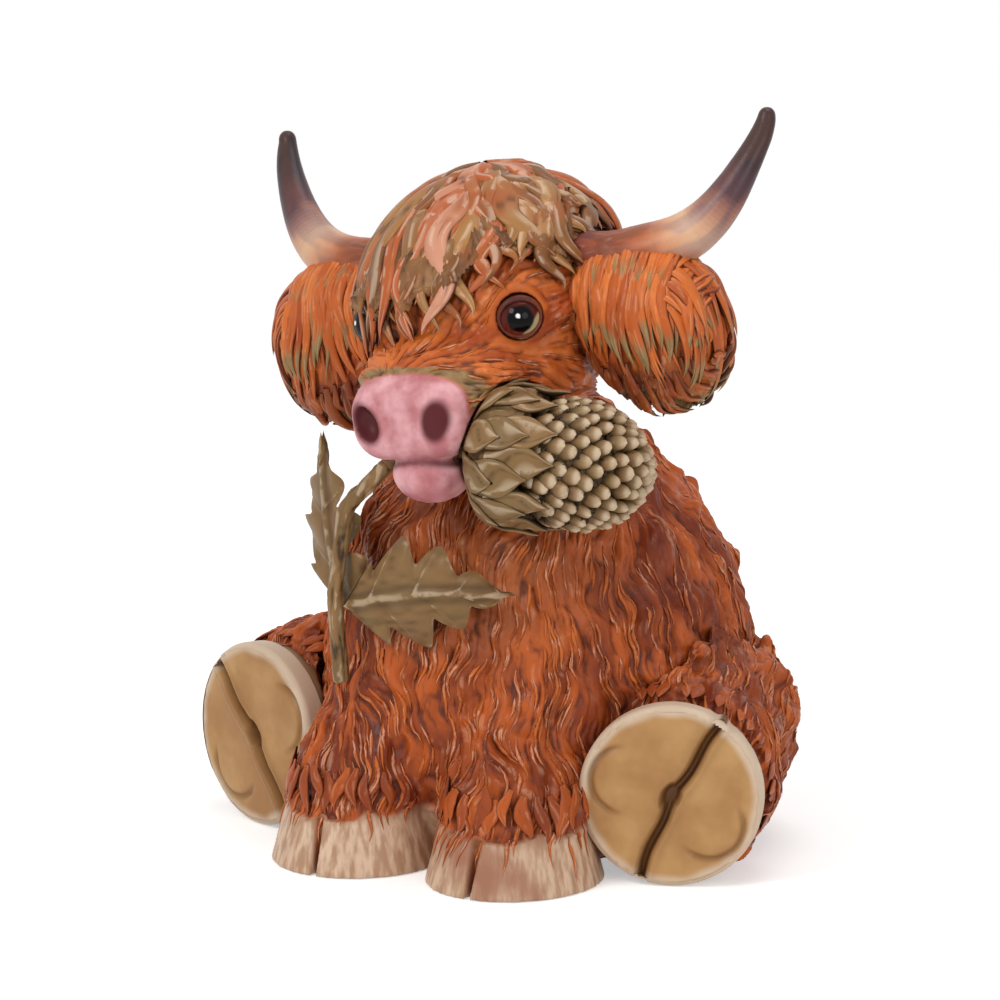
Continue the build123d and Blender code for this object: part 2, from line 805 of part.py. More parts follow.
def forelock():
    """The cap of hair over poll and forehead, with rings of locks that fall from the crown."""
    margin = 2 * cap_thickness
    cap = blob((0, crown_back / 2, skull_lift + cap_lift), skull_width + margin, skull_depth + margin,
               skull_tall + margin)
    floor = Box(4 * skull_width, 4 * skull_depth, 4 * skull_tall,
                align=(Align.CENTER, Align.CENTER, Align.MAX))
    cap -= Pos(0, 0, skull_lift + skull_tall * cap_back_share) * floor
    for count, start, end, phase in lock_rings:
        for index in range(count):
            around = 2 * pi * (index + phase) / count
            parting = fringe_parting * max(0.0, cos(around - fringe_parting_turn * pi / 180)) ** 4
            reach = end - parting - fringe_back_lift * (1 - cos(around)) / 2
            cap += lock(around, start, reach)
    cap -= skull_form(glue_gap)
    for side in (1, -1):
        cap -= horn_form(side, glue_gap)
        cap -= horn_peg_solid(side, glue_gap)
        cap -= mirror_sides(ear_shell(glue_gap), side)
        cap -= eye_place(side) * Sphere(eye_diameter / 2 + eye_lid + glue_gap)
    whole_cap = cap.solids().sort_by(SortBy.VOLUME)[-1]
    return head_frame() * whole_cap


def mouth_point(side):
    """Where the stem leaves the mouth on one side, in the figure."""
    return (head_frame() * Pos(side * mouth_half, -mouth_forward, -mouth_drop)).position


def stem_path():
    """The stem's centre line: out of the left corner, through the mouth and down the chest."""
    seat = (thistle_frame() * Pos(0, 0, stem_seat)).position
    left, right = mouth_point(1), mouth_point(-1)
    points = (seat, left, right, Vector(*stem_neck), Vector(*stem_waist), Vector(*stem_foot))
    radii = (stem_bend, stem_bend / 2, stem_bend, 3 * stem_bend)
    return FilletPolyline(*points, radius=list(radii))


def stem_solid(diameter):
    """A round rod along the stem's centre line."""
    path = stem_path()
    return sweep(Plane(origin=path @ 0, z_dir=path % 0) * Circle(diameter / 2), path)


def thistle_frame():
    """The thistle's own frame: origin where the stem meets the calyx, Z along the flower."""
    return Location(mouth_point(1)) * Rot(Z=thistle_heading) * Rot(Y=90 + thistle_dip)


def calyx_profile(grow):
    """Half of the calyx cup's outline, from the stem to its rim."""
    radius = calyx_diameter / 2 + grow
    stem = stem_diameter / 2
    swell = [(radius * wide, calyx_length * up) for wide, up in calyx_shares]
    with BuildLine() as line:
        Line((0, -grow), (stem, -grow))
        Spline((stem, -grow), *swell, tangents=((1, 0.25), (-0.1, 1)))
        Line(swell[-1], (0, calyx_length))
        Line((0, calyx_length), (0, -grow))
    return make_face(line.line)


def calyx_form(grow):
    """The calyx as a body of revolution about its own Z."""
    return revolve(Plane.XZ * calyx_profile(grow), Axis.Z)


def bract_blade(start, end, turn):
    """A radial wedge whose pointed outline cuts one bract out of a thin cup."""
    low = calyx_length * start
    high = calyx_length * end
    belly = low + (high - low) * bract_belly_height_share
    half = pi * calyx_diameter / bract_ring_count / 2
    root, wide = half * bract_root_share, half * bract_belly_share
    with BuildLine() as line:
        Line((-root, low), (root, low))
        ThreePointArc((root, low), (wide, belly), (0, high))
        ThreePointArc((0, high), (-wide, belly), (-root, low))
    face = Plane.XZ * make_face(line.line)
    return Rot(Z=turn) * extrude(face, calyx_diameter, dir=(0, -1, 0))


def thistle_calyx():
    """The cup under the flower, shingled with three rings of pointed bracts."""
    cup = calyx_form(0)
    for layer, (start, end, phase) in enumerate(bract_rings):
        skin = calyx_form(bract_thick * (1 - bract_thinning_share * layer)) - calyx_form(-bract_thick)
        for index in range(bract_ring_count):
            cup += skin & bract_blade(start, end, 360 * (index + phase) / bract_ring_count)
    cup -= flower_peg(glue_gap)
    cup -= Cylinder(stem_diameter / 2 + glue_gap, 2 * (stem_seat + glue_gap))
    return cup


def flower_peg(grow):
    """The peg under the flower, into the calyx."""
    base = Pos(0, 0, calyx_length - flower_peg_length - grow)
    return base * Cylinder(flower_peg_diameter / 2 + grow, 2 * flower_peg_length,
                           align=(Align.CENTER, Align.CENTER, Align.MIN))


def flower_radius(share):
    """The radius of the florets' seat at a share of the flower's length: a barrel closed by a dome."""
    belly = flower_diameter / 2 - floret_diameter / 2
    if share < flower_belly_share:
        swell = 1 - (1 - share / flower_belly_share) ** 2
        return belly * (flower_neck_share + (1 - flower_neck_share) * sqrt(swell))
    run = (share - flower_belly_share) / (1 - flower_belly_share)
    return belly * sqrt(1 - run ** 2 * flower_close_share)


def flower_core():
    """The solid heart of the flower, turned about its axis inside the florets' seats."""
    base = calyx_length + glue_gap
    tall = flower_length - floret_diameter / 2
    belly = flower_radius(flower_belly_share)
    neck, shoulder = flower_radius(0.0), flower_radius(flower_shoulder_share)
    crown = tall * (1 - flower_shoulder_share)
    dome = (shoulder ** 2 + crown ** 2) / (2 * crown)
    half_turn = asin(shoulder / dome) / 2
    middle = (belly, base + tall * flower_belly_share)
    edge = (shoulder, base + tall - crown)
    with BuildLine() as line:
        Line((0, base), (neck, base))
        ThreePointArc((neck, base), middle, edge)
        crest = (dome * sin(half_turn), base + tall - dome * (1 - cos(half_turn)))
        ThreePointArc(edge, crest, (0, base + tall))
        Line((0, base + tall), (0, base))
    return revolve(Plane.XZ * make_face(line.line), Axis.Z)


def floret_shares():
    """Where the florets sit along the flower, so that each has the same share of its surface."""
    run = floret_end_share - floret_start_share
    steps = [floret_start_share + run * step / floret_steps for step in range(floret_steps + 1)]
    areas = [0.0]
    for low, high in zip(steps, steps[1:]):
        rise = (high - low) * (flower_length - floret_diameter / 2)
        slant = sqrt(rise ** 2 + (flower_radius(high) - flower_radius(low)) ** 2)
        areas.append(areas[-1] + slant * (flower_radius(low) + flower_radius(high)))
    shares = []
    for index in range(floret_count):
        wanted = areas[-1] * (index + 0.5) / floret_count
        shares.append(next(share for share, area in zip(steps, areas) if area >= wanted))
    return shares


def floret():
    """One floret: a shank that widens to a round end."""
    end = floret_diameter / 2
    shank = floret_length - end
    with BuildLine() as line:
        Line((0, 0), (end * floret_shank_share, 0))
        Line((end * floret_shank_share, 0), (end, shank))
        ThreePointArc((end, shank), (end * sqrt(0.5), shank + end * sqrt(0.5)), (0, shank + end))
        Line((0, shank + end), (0, 0))
    return revolve(Plane.XZ * make_face(line.line), Axis.Z)


def thistle_flower():
    """A barrel of florets set at the golden angle, each leaning further to the tip than the last."""
    base = calyx_length + glue_gap
    tall = flower_length - floret_diameter / 2
    golden = 180 * (3 - sqrt(5))
    single = floret()
    florets = []
    for index, share in enumerate(floret_shares()):
        lean = floret_lean + floret_tip_lean * share ** 3
        seat = Pos(flower_radius(share) - floret_sink, 0, base + tall * share - floret_length / 3)
        florets.append(Rot(Z=golden * index) * seat * Rot(Y=90 - lean) * single)
    flower = flower_core()
    for first in range(0, floret_count, floret_batch):
        flower = flower.fuse(*florets[first:first + floret_batch])
    return flower + flower_peg(0)


def leaf_edge(length, width, lobes):
    """One edge of a lobed leaf, from its root out round each lobe to just short of its tip."""
    return [(length * along, width * out) for lobe in lobes for along, out in lobe]


def leaf_face(length, width, upper, lower):
    """The closed outline of a leaf, root at the origin and tip along +X."""
    top = leaf_edge(length, width, upper)
    low = leaf_edge(length, width, lower)
    return make_face(Polyline((0, 0), *top, (length, 0), *low[::-1], close=True))


def sleeve(radius, thickness):
    """A tall thin tube about the leaves' upright axis."""
    tall = 4 * rear_leaf_length
    wall = Cylinder(radius, tall) - Cylinder(radius - thickness, tall)
    return Pos(leaf_axis_side, leaf_axis_setback, front_leaf_height) * wall


def leaf_front():
    """The leaf that wraps across the chest from the stem to the calf's left."""
    face = leaf_face(front_leaf_length, front_leaf_width, front_upper_shares, front_lower_shares)
    root = Pos(stem_waist[0] + stem_diameter / 2 + glue_gap, 0, front_leaf_height)
    prism = extrude(root * Rot(Y=-front_leaf_slope) * Rot(X=90) * face, 4 * front_leaf_radius, both=True)
    front = Box(8 * front_leaf_radius, 4 * front_leaf_radius, 8 * front_leaf_radius,
                align=(Align.CENTER, Align.MAX, Align.CENTER))
    half = Pos(0, leaf_axis_setback, 0) * front
    blade = prism & sleeve(front_leaf_radius, leaf_thickness) & half
    rib = Box(front_leaf_length * leaf_rib_share, 8 * front_leaf_radius, leaf_rib,
              align=(Align.MIN, Align.CENTER, Align.CENTER))
    rib = root * Rot(Y=-front_leaf_slope) * rib & sleeve(front_leaf_radius + leaf_rib / 2, leaf_rib) & half
    return blade + rib - stem_solid(stem_diameter + 2 * glue_gap)


def leaf_rear():
    """The leaf that stands up behind the stem, glued to the back of the front leaf."""
    radius = front_leaf_radius - leaf_thickness - glue_gap
    face = leaf_face(rear_leaf_length, rear_leaf_width, rear_upper_shares, rear_lower_shares)
    root = Pos(stem_waist[0], 0, rear_leaf_height - rear_leaf_length / 2)
    prism = extrude(root * Rot(Y=-rear_leaf_slope) * Rot(X=90) * face, 4 * front_leaf_radius, both=True)
    front = Box(8 * front_leaf_radius, 4 * front_leaf_radius, 8 * front_leaf_radius,
                align=(Align.CENTER, Align.MAX, Align.CENTER))
    half = Pos(0, leaf_axis_setback, 0) * front
    return prism & sleeve(radius, leaf_thickness) & half - stem_solid(stem_diameter + 2 * glue_gap)


def plug_solid(grow):
    """The stopper of the pour hole, a shallow cone from the cavity down to the felt."""
    deep = torso_wall - felt_thickness
    cone = Cone(plug_diameter / 2 + grow, (plug_diameter - plug_taper) / 2 + grow, deep,
                align=(Align.CENTER, Align.CENTER, Align.MIN))
    return Pos(0, plug_setback, felt_thickness) * cone


def felt_solid(grow):
    """The oval felt under the rump."""
    return Pos(0, felt_setback, 0) * extrude(Ellipse(felt_width / 2 + grow, felt_depth / 2 + grow),
                                             felt_thickness)


def body_casting():
    """Torso, ruff, tail and front legs as one hollow casting."""
    form = torso_form(0) + chest_form(0) + tail_form()
    for side in (1, -1):
        form += front_leg_form(side, 0)
    form += body_tufts()
    for side in (1, -1):
        form += front_hoof_form(side, 0)
        form -= front_cleft(side)
    core = torso_form(-torso_wall)
    slab = Box(2 * torso_width, 2 * torso_depth, cavity_height - torso_wall,
               align=(Align.CENTER, Align.CENTER, Align.MIN))
    core &= Pos(0, torso_setback, torso_wall) * slab
    form -= core
    form -= plug_solid(glue_gap)
    form -= felt_solid(glue_gap)
    form -= head_frame() * skull_form(glue_gap)
    form -= neck_peg(neck_peg_diameter + 2 * glue_gap, glue_gap)
    for side in (1, -1):
        form -= mirror_sides(hip_peg(hip_peg_diameter + 2 * glue_gap, hip_peg_length + glue_gap), side)
    return form


nodes = {
    "body_casting": body_casting(),
    "hind_leg_left": hind_leg(1),
    "hind_leg_right": hind_leg(-1),
    "head_casting": head_casting(),
    "forelock": forelock(),
    "thistle_flower": thistle_frame() * thistle_flower(),
    "thistle_calyx": thistle_frame() * thistle_calyx(),
    "thistle_stem": stem_solid(stem_diameter) - stem_solid(wire_diameter + 2 * wire_gap),
    "stem_wire": stem_solid(wire_diameter),
    "leaf_front": leaf_front(),
    "leaf_rear": leaf_rear(),
    "base_plug": plug_solid(0),
    "base_felt": felt_solid(0),
}
for name, side in (("left", 1), ("right", -1)):
    nodes["ear_" + name] = ear(side)
    nodes["horn_" + name] = horn(side)
    nodes["horn_pin_" + name] = head_frame() * horn_pin_solid(side, 0)
    nodes["eye_" + name] = head_frame() * eye_place(side) * eye_solid(0)

whole = Compound(children=[Compound(solid.solids()) for solid in nodes.values()]).bounding_box()
home = Pos(-whole.center().X, -whole.center().Y, -whole.min.Z)
os.makedirs("parts", exist_ok=True)
for name, solid in nodes.items():
    export_step(home * solid, f"parts/{name}.step")
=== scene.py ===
# %% [markdown]
# # A painted resin calf: the frame it is built on
# The ornament is a set of cold-cast resin castings, glued together and painted by hand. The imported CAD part
# comes in first as a frame that never moves. It gives the place and the mass of every casting, and each
# piece made below is laid over one of its nodes.

import json
import math
import time

import bpy
import numpy as np
from mathutils import Vector
from mathutils.kdtree import KDTree
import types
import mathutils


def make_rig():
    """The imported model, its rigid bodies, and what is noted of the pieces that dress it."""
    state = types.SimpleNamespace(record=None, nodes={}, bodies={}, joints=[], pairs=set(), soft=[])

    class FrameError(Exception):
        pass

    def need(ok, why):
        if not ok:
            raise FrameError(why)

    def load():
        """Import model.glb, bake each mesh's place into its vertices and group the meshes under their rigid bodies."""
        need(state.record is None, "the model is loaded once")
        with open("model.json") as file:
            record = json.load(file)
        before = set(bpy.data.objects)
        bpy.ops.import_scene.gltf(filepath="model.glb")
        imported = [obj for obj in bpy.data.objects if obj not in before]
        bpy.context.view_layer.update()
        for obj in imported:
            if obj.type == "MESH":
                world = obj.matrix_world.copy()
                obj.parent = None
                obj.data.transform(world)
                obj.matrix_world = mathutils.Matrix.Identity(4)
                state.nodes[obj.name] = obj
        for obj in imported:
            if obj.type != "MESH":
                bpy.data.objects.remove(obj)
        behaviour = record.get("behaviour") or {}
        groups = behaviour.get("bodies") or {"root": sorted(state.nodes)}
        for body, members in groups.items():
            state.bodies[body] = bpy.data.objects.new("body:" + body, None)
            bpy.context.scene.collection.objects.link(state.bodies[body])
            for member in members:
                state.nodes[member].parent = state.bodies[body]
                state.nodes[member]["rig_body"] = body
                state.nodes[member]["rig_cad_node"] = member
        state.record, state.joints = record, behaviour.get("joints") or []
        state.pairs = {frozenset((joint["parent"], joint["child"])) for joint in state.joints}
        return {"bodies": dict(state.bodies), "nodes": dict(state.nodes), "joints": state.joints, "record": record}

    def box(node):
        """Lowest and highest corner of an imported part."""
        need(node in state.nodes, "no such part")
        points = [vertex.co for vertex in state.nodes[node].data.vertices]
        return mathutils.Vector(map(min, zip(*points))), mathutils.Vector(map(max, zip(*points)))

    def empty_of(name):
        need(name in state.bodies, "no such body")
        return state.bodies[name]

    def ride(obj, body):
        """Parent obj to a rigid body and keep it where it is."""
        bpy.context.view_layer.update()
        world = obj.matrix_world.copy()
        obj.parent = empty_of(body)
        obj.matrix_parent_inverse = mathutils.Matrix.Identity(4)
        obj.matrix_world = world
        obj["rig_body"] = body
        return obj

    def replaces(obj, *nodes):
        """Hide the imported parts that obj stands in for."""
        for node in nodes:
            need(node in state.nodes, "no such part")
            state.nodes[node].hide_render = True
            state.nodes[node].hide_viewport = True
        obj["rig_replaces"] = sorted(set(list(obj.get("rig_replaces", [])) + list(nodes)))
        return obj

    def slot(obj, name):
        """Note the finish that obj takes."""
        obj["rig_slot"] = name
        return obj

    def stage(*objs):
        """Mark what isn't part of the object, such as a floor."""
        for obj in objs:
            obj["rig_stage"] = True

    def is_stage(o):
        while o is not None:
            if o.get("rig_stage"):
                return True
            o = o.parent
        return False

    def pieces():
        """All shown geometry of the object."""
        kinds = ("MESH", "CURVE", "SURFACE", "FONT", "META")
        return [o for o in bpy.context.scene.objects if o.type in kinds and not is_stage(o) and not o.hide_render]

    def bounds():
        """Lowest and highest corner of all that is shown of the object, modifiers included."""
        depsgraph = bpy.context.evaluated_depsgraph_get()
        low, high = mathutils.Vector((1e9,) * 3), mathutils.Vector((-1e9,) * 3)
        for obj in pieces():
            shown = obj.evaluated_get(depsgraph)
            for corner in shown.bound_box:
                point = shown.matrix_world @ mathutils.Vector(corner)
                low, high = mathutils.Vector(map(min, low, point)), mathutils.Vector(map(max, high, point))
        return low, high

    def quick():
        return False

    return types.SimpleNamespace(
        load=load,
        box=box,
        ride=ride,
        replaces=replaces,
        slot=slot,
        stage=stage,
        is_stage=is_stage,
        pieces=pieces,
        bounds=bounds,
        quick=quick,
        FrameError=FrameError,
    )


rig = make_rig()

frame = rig.load()
cad_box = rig.bounds()
started = time.time()
print("castings in the frame:", len(frame["nodes"]))
print("box in mm:", [round(1000 * (high - low), 1) for low, high in zip(*cad_box)])

# %% [markdown]
# ## Units, and where the calf's parts are
# Sculpting is easier to think about in millimetres, so every array below is in millimetres and is only
# turned into metres when a mesh is made. SHIFT is where the point that the calf was drawn from lies in the
# frame. The head is tilted, so it gets a small frame of its own: points on the face are written there and
# carried into the figure by one function. What is drawn for the left side is mirrored for the right.

# %% Millimetres, sides and the head's own frame
MM = 0.001
SIDES = ((1, "left"), (-1, "right"))
GRAIN = 1.0 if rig.quick() else 0.5
FELT_BEHIND = 54.0
felt_low, felt_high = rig.box("base_felt")
middle = 1000 * (felt_low + felt_high) / 2
SHIFT = np.array([middle.x, middle.y - FELT_BEHIND, 0.0])
HEAD_AT = np.array([3.0, 26.0, 130.0]) + SHIFT


def turn_about(axis, degrees):
    """The rotation matrix about one of the three axes."""
    c, s = math.cos(math.radians(degrees)), math.sin(math.radians(degrees))
    if axis == "X":
        return np.array([[1, 0, 0], [0, c, -s], [0, s, c]])
    if axis == "Y":
        return np.array([[c, 0, s], [0, 1, 0], [-s, 0, c]])
    return np.array([[c, -s, 0], [s, c, 0], [0, 0, 1]])


HEAD_TURN = turn_about("Z", -3.5) @ turn_about("Y", -10.0)


def from_head(points):
    """Points in the head's frame, carried into the figure."""
    return np.asarray(points, float) @ HEAD_TURN.T + HEAD_AT


def to_head(points):
    """Points of the figure, seen in the head's frame."""
    return (np.asarray(points, float) - HEAD_AT) @ HEAD_TURN


def mirror(side):
    """What carries a place drawn on the left to the given side."""
    return np.array([side, 1, 1])


def unit(ways, least=1e-9):
    """Directions, each brought to a length of 1."""
    return ways / np.maximum(np.linalg.norm(ways, axis=-1, keepdims=True), least)


print("middle of the skull:", HEAD_AT.round(1))

# %% [markdown]
# ## Noise that stays put
# Hair that is carved by hand is never even. All of the unevenness here comes from one block of random
# numbers with a fixed seed, read with smooth steps between its cells. Asking for a larger cell gives a
# slower change, and the same seed gives the same calf each time.

# %% Smooth noise
LATTICE = 64
FIRST_CELL = 1000.0
random_block = np.random.default_rng(7).uniform(-1, 1, (LATTICE,) * 3).astype(np.float32).ravel()


def noise(points, cell, offset=0.0):
    """Smooth random values between -1 and 1 that change over about one cell, in mm."""
    scaled = np.asarray(points, np.float32) / np.float32(cell) + np.float32(offset + FIRST_CELL)
    whole = np.floor(scaled)
    part = scaled - whole
    part = part * part * (3 - 2 * part)
    low = whole.astype(np.int64) % LATTICE
    high = (low + 1) % LATTICE
    value = 0
    for x, wx in ((low[:, 0], 1 - part[:, 0]), (high[:, 0], part[:, 0])):
        for y, wy in ((low[:, 1], 1 - part[:, 1]), (high[:, 1], part[:, 1])):
            for z, wz in ((low[:, 2], 1 - part[:, 2]), (high[:, 2], part[:, 2])):
                value = value + random_block[(x * LATTICE + y) * LATTICE + z] * (wx * wy * wz)
    return value


def ramp(value, start, end):
    """0 before start, 1 after end and a smooth step between."""
    share = np.clip((value - start) / (end - start), 0, 1)
    return share * share * (3 - 2 * share)


def wave(along, length, drift):
    """A wave of the given length, whose beats come early or late by some drift."""
    return np.sin(2 * np.pi * along / length + drift)


# %% [markdown]
# ## A skin to carve in
# A CAD mesh has long thin triangles, which can't hold carved hair. Blender's Remesh modifier in voxel mode
# lays an even net of small squares over a node instead. The net is then softened, so that the masses
# flow into each other as clay does, but it is held where an edge has to stay crisp, as at a hoof.

# %% Nets: skins as arrays
class Net:
    """The points, edges and faces of a skin, in mm, with what is painted on each point."""

    def __init__(self, points, edges, loops, totals):
        self.points, self.edges, self.loops, self.totals = points, edges, loops, totals
        self.paint = {}

    def starts(self):
        """Where each face begins in the list of corners."""
        return np.concatenate([[0], np.cumsum(self.totals)[:-1]])

    def normals(self):
        """The outward direction at each point."""
        starts = self.starts()
        a, b = self.loops[starts], self.loops[starts + 1]
        c, d = self.loops[starts + 2], self.loops[starts + self.totals - 1]
        across = np.cross(self.points[c] - self.points[a], self.points[d] - self.points[b])
        owner = np.repeat(np.arange(len(self.totals)), self.totals)
        count = len(self.points)
        return unit(np.stack([np.bincount(self.loops, across[owner, k], count) for k in range(3)], 1))

    def soften(self, rounds, hold=0.0, pull=0.6):
        """Lets each point move towards the middle of its neighbours."""
        one, two = self.edges.T
        count = len(self.points)
        degree = np.bincount(self.edges.ravel(), minlength=count)
        share = np.broadcast_to(pull * (1 - hold) / np.maximum(degree, 1), (count,))[:, None]
        for _ in range(rounds):
            total = np.stack([np.bincount(one, self.points[two, k], count)
                              + np.bincount(two, self.points[one, k], count) for k in range(3)], 1)
            self.points = self.points + (total - degree[:, None] * self.points) * share

    def without(self, gone):
        """The same net with some of its points, and the faces on them, cut away."""
        return self.only(~np.logical_or.reduceat(gone[self.loops], self.starts()))

    def only(self, keep_face):
        """The net of some of the faces."""
        loops = self.loops[np.repeat(keep_face, self.totals)]
        used = np.zeros(len(self.points), bool)
        used[loops] = True
        new = np.cumsum(used) - 1
        edges = self.edges[used[self.edges].all(1)]
        net = Net(self.points[used], new[edges], new[loops], self.totals[keep_face])
        net.paint = {name: value[used] for name, value in self.paint.items()}
        return net


def read_list(items, title, width, kind):
    """One property of a mesh's points, edges, corners or faces."""
    values = np.empty(width * len(items), kind)
    items.foreach_get(title, values)
    return values


def skin_over(node, fine, coarse=None):
    copy = bpy.data.objects.new("skin", frame["nodes"][node].data.copy())
    bpy.context.scene.collection.objects.link(copy)
    remesh = copy.modifiers.new("even", "REMESH")
    remesh.mode, remesh.voxel_size = "VOXEL", (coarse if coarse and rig.quick() else fine) * MM
    mesh = bpy.data.meshes.new_from_object(copy.evaluated_get(bpy.context.evaluated_depsgraph_get()))
    bpy.data.objects.remove(copy)
    points = read_list(mesh.vertices, "co", 3, np.float32).reshape(-1, 3).astype(float) * 1000
    edges = read_list(mesh.edges, "vertices", 2, np.int32).reshape(-1, 2)
    loops = read_list(mesh.loops, "vertex_index", 1, np.int32)
    return Net(points, edges, loops, read_list(mesh.polygons, "loop_total", 1, np.int32))


# %% Nets drawn on rings
def between_rings(rings, spokes):
    """The first corner of each face between rings of points, and the corner beside it round the ring."""
    first = np.arange(rings - 1)[:, None] * spokes
    return first + np.arange(spokes), first + (np.arange(spokes) + 1) % spokes


def disc_net(points, shape, side):
    """A net on rings and spokes. Drawn for the left, its faces are turned over on the right."""
    first, right = between_rings(*shape)
    quads = np.stack([first, first + shape[1], right + shape[1], right], -1).reshape(-1, 4)
    return Net(points, None, (quads if side > 0 else quads[:, ::-1]).ravel(), np.full(len(quads), 4))


# %% [markdown]
# ## From a net to a piece
# Each point carries a few painted values, such as how deep it lies in a groove or whether it is hoof. They
# are stored on the mesh as named attributes, and the materials read them by name. No point leaves the box
# of the CAD model. A large casting is cut into wedges, so that each one gets its share of the detail when
# the model is exported, and the wedges keep the normals of the whole, so that no seam shows.

# %% Make a piece
def make_piece(name, net, material, slot, replaces=(), normals=None):
    """Turns a net into a mesh piece that rides with the figure."""
    mesh = bpy.data.meshes.new(name)
    mesh.vertices.add(len(net.points))
    mesh.vertices.foreach_set("co", np.clip(net.points * MM, *cad_box).astype(np.float32).ravel())
    mesh.loops.add(len(net.loops))
    mesh.loops.foreach_set("vertex_index", net.loops.astype(np.int32))
    mesh.polygons.add(len(net.totals))
    mesh.polygons.foreach_set("loop_start", net.starts().astype(np.int32))
    mesh.polygons.foreach_set("use_smooth", np.ones(len(net.totals), bool))
    for title, value in net.paint.items():
        attribute = mesh.attributes.new(title, "FLOAT", "POINT")
        attribute.data.foreach_set("value", np.full(len(net.points), value, np.float32))
    mesh.update(calc_edges=True)
    mesh.validate()
    if normals is not None:
        mesh.normals_split_custom_set_from_vertices(normals.tolist())
    mesh.materials.append(material)
    piece = bpy.data.objects.new(name, mesh)
    bpy.context.scene.collection.objects.link(piece)
    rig.ride(piece, "root")
    if replaces:
        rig.replaces(piece, *replaces)
    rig.slot(piece, slot)
    print(f"{name}: {len(net.totals)} faces, {time.time() - started:.0f} s")


def make_wedges(name, net, material, slot, replaces, count):
    """A large net as several pieces round the vertical, lit across their seams as if it were one."""
    titles = ("out_x", "out_y", "out_z")
    net.paint.update(zip(titles, net.normals().T))
    corners = net.points[net.loops[net.starts()]]
    away = corners[:, :2] - (net.points.min(0) + net.points.max(0))[:2] / 2
    wedge = ((np.degrees(np.arctan2(away[:, 0], -away[:, 1])) + 180) / 360 * count).astype(int) % count
    for index in range(count):
        part = net.only(wedge == index)
        normals = np.stack([part.paint.pop(title) for title in titles], 1)
        make_piece(f"{name}_{index + 1}", part, material, slot, () if index else replaces, normals)


# %% [markdown]
# ## Combing
# Carved hair is a field of fine ridges that all follow one direction. The direction is set at each point of
# the skin, and kept in a coarse block of cells so that it can be read anywhere near the surface. Random
# values are then averaged along the line that each hair would take. Points on the same hair share most of
# that line, so they get nearly the same value, and neighbours across it don't: that is what makes strands.
# Where the value crosses zero the surface is cut in sharply, as a modelling tool cuts it.

# %% The comb
def block_of(points, cell, margin):
    """A block of cells round some points: its low corner, its shape and the cell of each point."""
    low = points.min(0) - margin * cell
    shape = np.ceil((points.max(0) - low) / cell).astype(int) + margin + 1
    place = ((points - low) / cell).round().astype(int)
    return low, shape, (place[:, 0] * shape[1] + place[:, 1]) * shape[2] + place[:, 2]


class Comb:
    """The direction of the hair, readable at any place near a skin."""

    def __init__(self, points, ways, cell=1.6):
        self.cell = cell
        self.low, self.shape, flat = block_of(points, cell, 5)
        size = int(np.prod(self.shape))
        field = np.stack([np.bincount(flat, ways[:, k], size) for k in range(3)], 1)
        field = field.reshape(*self.shape, 3).astype(np.float32)
        for _ in range(2):
            for axis in range(3):
                field = field + 0.5 * (np.roll(field, 1, axis) + np.roll(field, -1, axis))
        self.field = unit(field).reshape(-1, 3)

    def way(self, points):
        """The direction at some points."""
        scaled = (points - self.low) / self.cell
        whole = np.clip(np.floor(scaled).astype(int), 0, self.shape - 2)
        part = (scaled - whole).astype(np.float32)
        found = 0
        for corner in np.ndindex(2, 2, 2):
            wx, wy, wz = [part[:, k] if step else 1 - part[:, k] for k, step in enumerate(corner)]
            x, y, z = (whole + corner).T
            index = (x * self.shape[1] + y) * self.shape[2] + z
            found = found + self.field[index] * (wx * wy * wz)[:, None]
        return found


# %% Carve along the comb
DOWN = np.array([0.0, 0.0, -1.0])
SPREAD = 1.6
LEVELS = (0.82, 0.75, 0.70)


def lay(normals, lie, swing):
    """The hair's direction in the surface: where it would hang, turned sideways by an angle."""
    way = unit(lie - normals * (lie * normals).sum(1)[:, None], 1e-6)
    return way * np.cos(swing)[..., None] + np.cross(normals, way) * np.sin(swing)[..., None]


def strands(points, comb, cells, reach=5.4, step=0.6):
    """Random values averaged along each hair, one array for each cell size, scaled to a spread of 1."""
    sums = [noise(points, cell, 17.0 * k) for k, cell in enumerate(cells)]
    for sign in (1, -1):
        here = points.copy()
        for _ in range(int(reach / step)):
            here = here + sign * step * comb.way(here)
            for k, cell in enumerate(cells):
                sums[k] = sums[k] + noise(here, cell, 17.0 * k)
    return [value / value.std() for value in sums]


def carve(net, lie, swing=0.0, bare=0.0, depth=(1.5, 0.8, 0.50), cells=(4.6, 2.1, 1.05)):
    """Cuts locks, wisps and hairs into a net, of the given depths in mm. bare is 1 where no hair grows."""
    normals = net.normals()
    comb = Comb(net.points, lay(normals, lie, swing))
    values = strands(net.points, comb, cells)
    cuts = [np.minimum(np.abs(value), SPREAD) / SPREAD for value in values]
    grows = 1 - bare
    height = sum(deep * (cut - level) for deep, cut, level in zip(depth, cuts, LEVELS))
    net.points = net.points + normals * (height * grows)[:, None]
    lock, wisp, hair = cuts
    net.paint["relief"] = np.clip(0.22 * lock + 0.36 * wisp + 0.54 * hair, 0, 1) * grows + 0.6 * bare
    net.paint["hue"] = np.clip(0.5 + 0.28 * values[0] + 0.16 * values[1], 0, 1)
    return comb


# %% [markdown]
# # Paint
# The castings are sprayed, washed with a dark glaze that stays in the grooves, brushed with an almost dry
# pale brush that only touches the ridges, and varnished. The glaze, the dry brush and the fine grain of the
# varnish are shader node groups here, and each material uses them with its own values. A group only puts
# out colours, masks and values, so the Principled shader stays in the material where an exporter can read it.
# Where masses meet, the glaze colour is also laid on as painted shade.

# %% Node helpers
def ink(text):
    """A colour as painters write it, such as b5532a, as linear values."""
    values = [int(text[k:k + 2], 16) / 255 for k in (0, 2, 4)]
    return tuple(v / 12.92 if v <= 0.04045 else ((v + 0.055) / 1.055) ** 2.4 for v in values) + (1.0,)


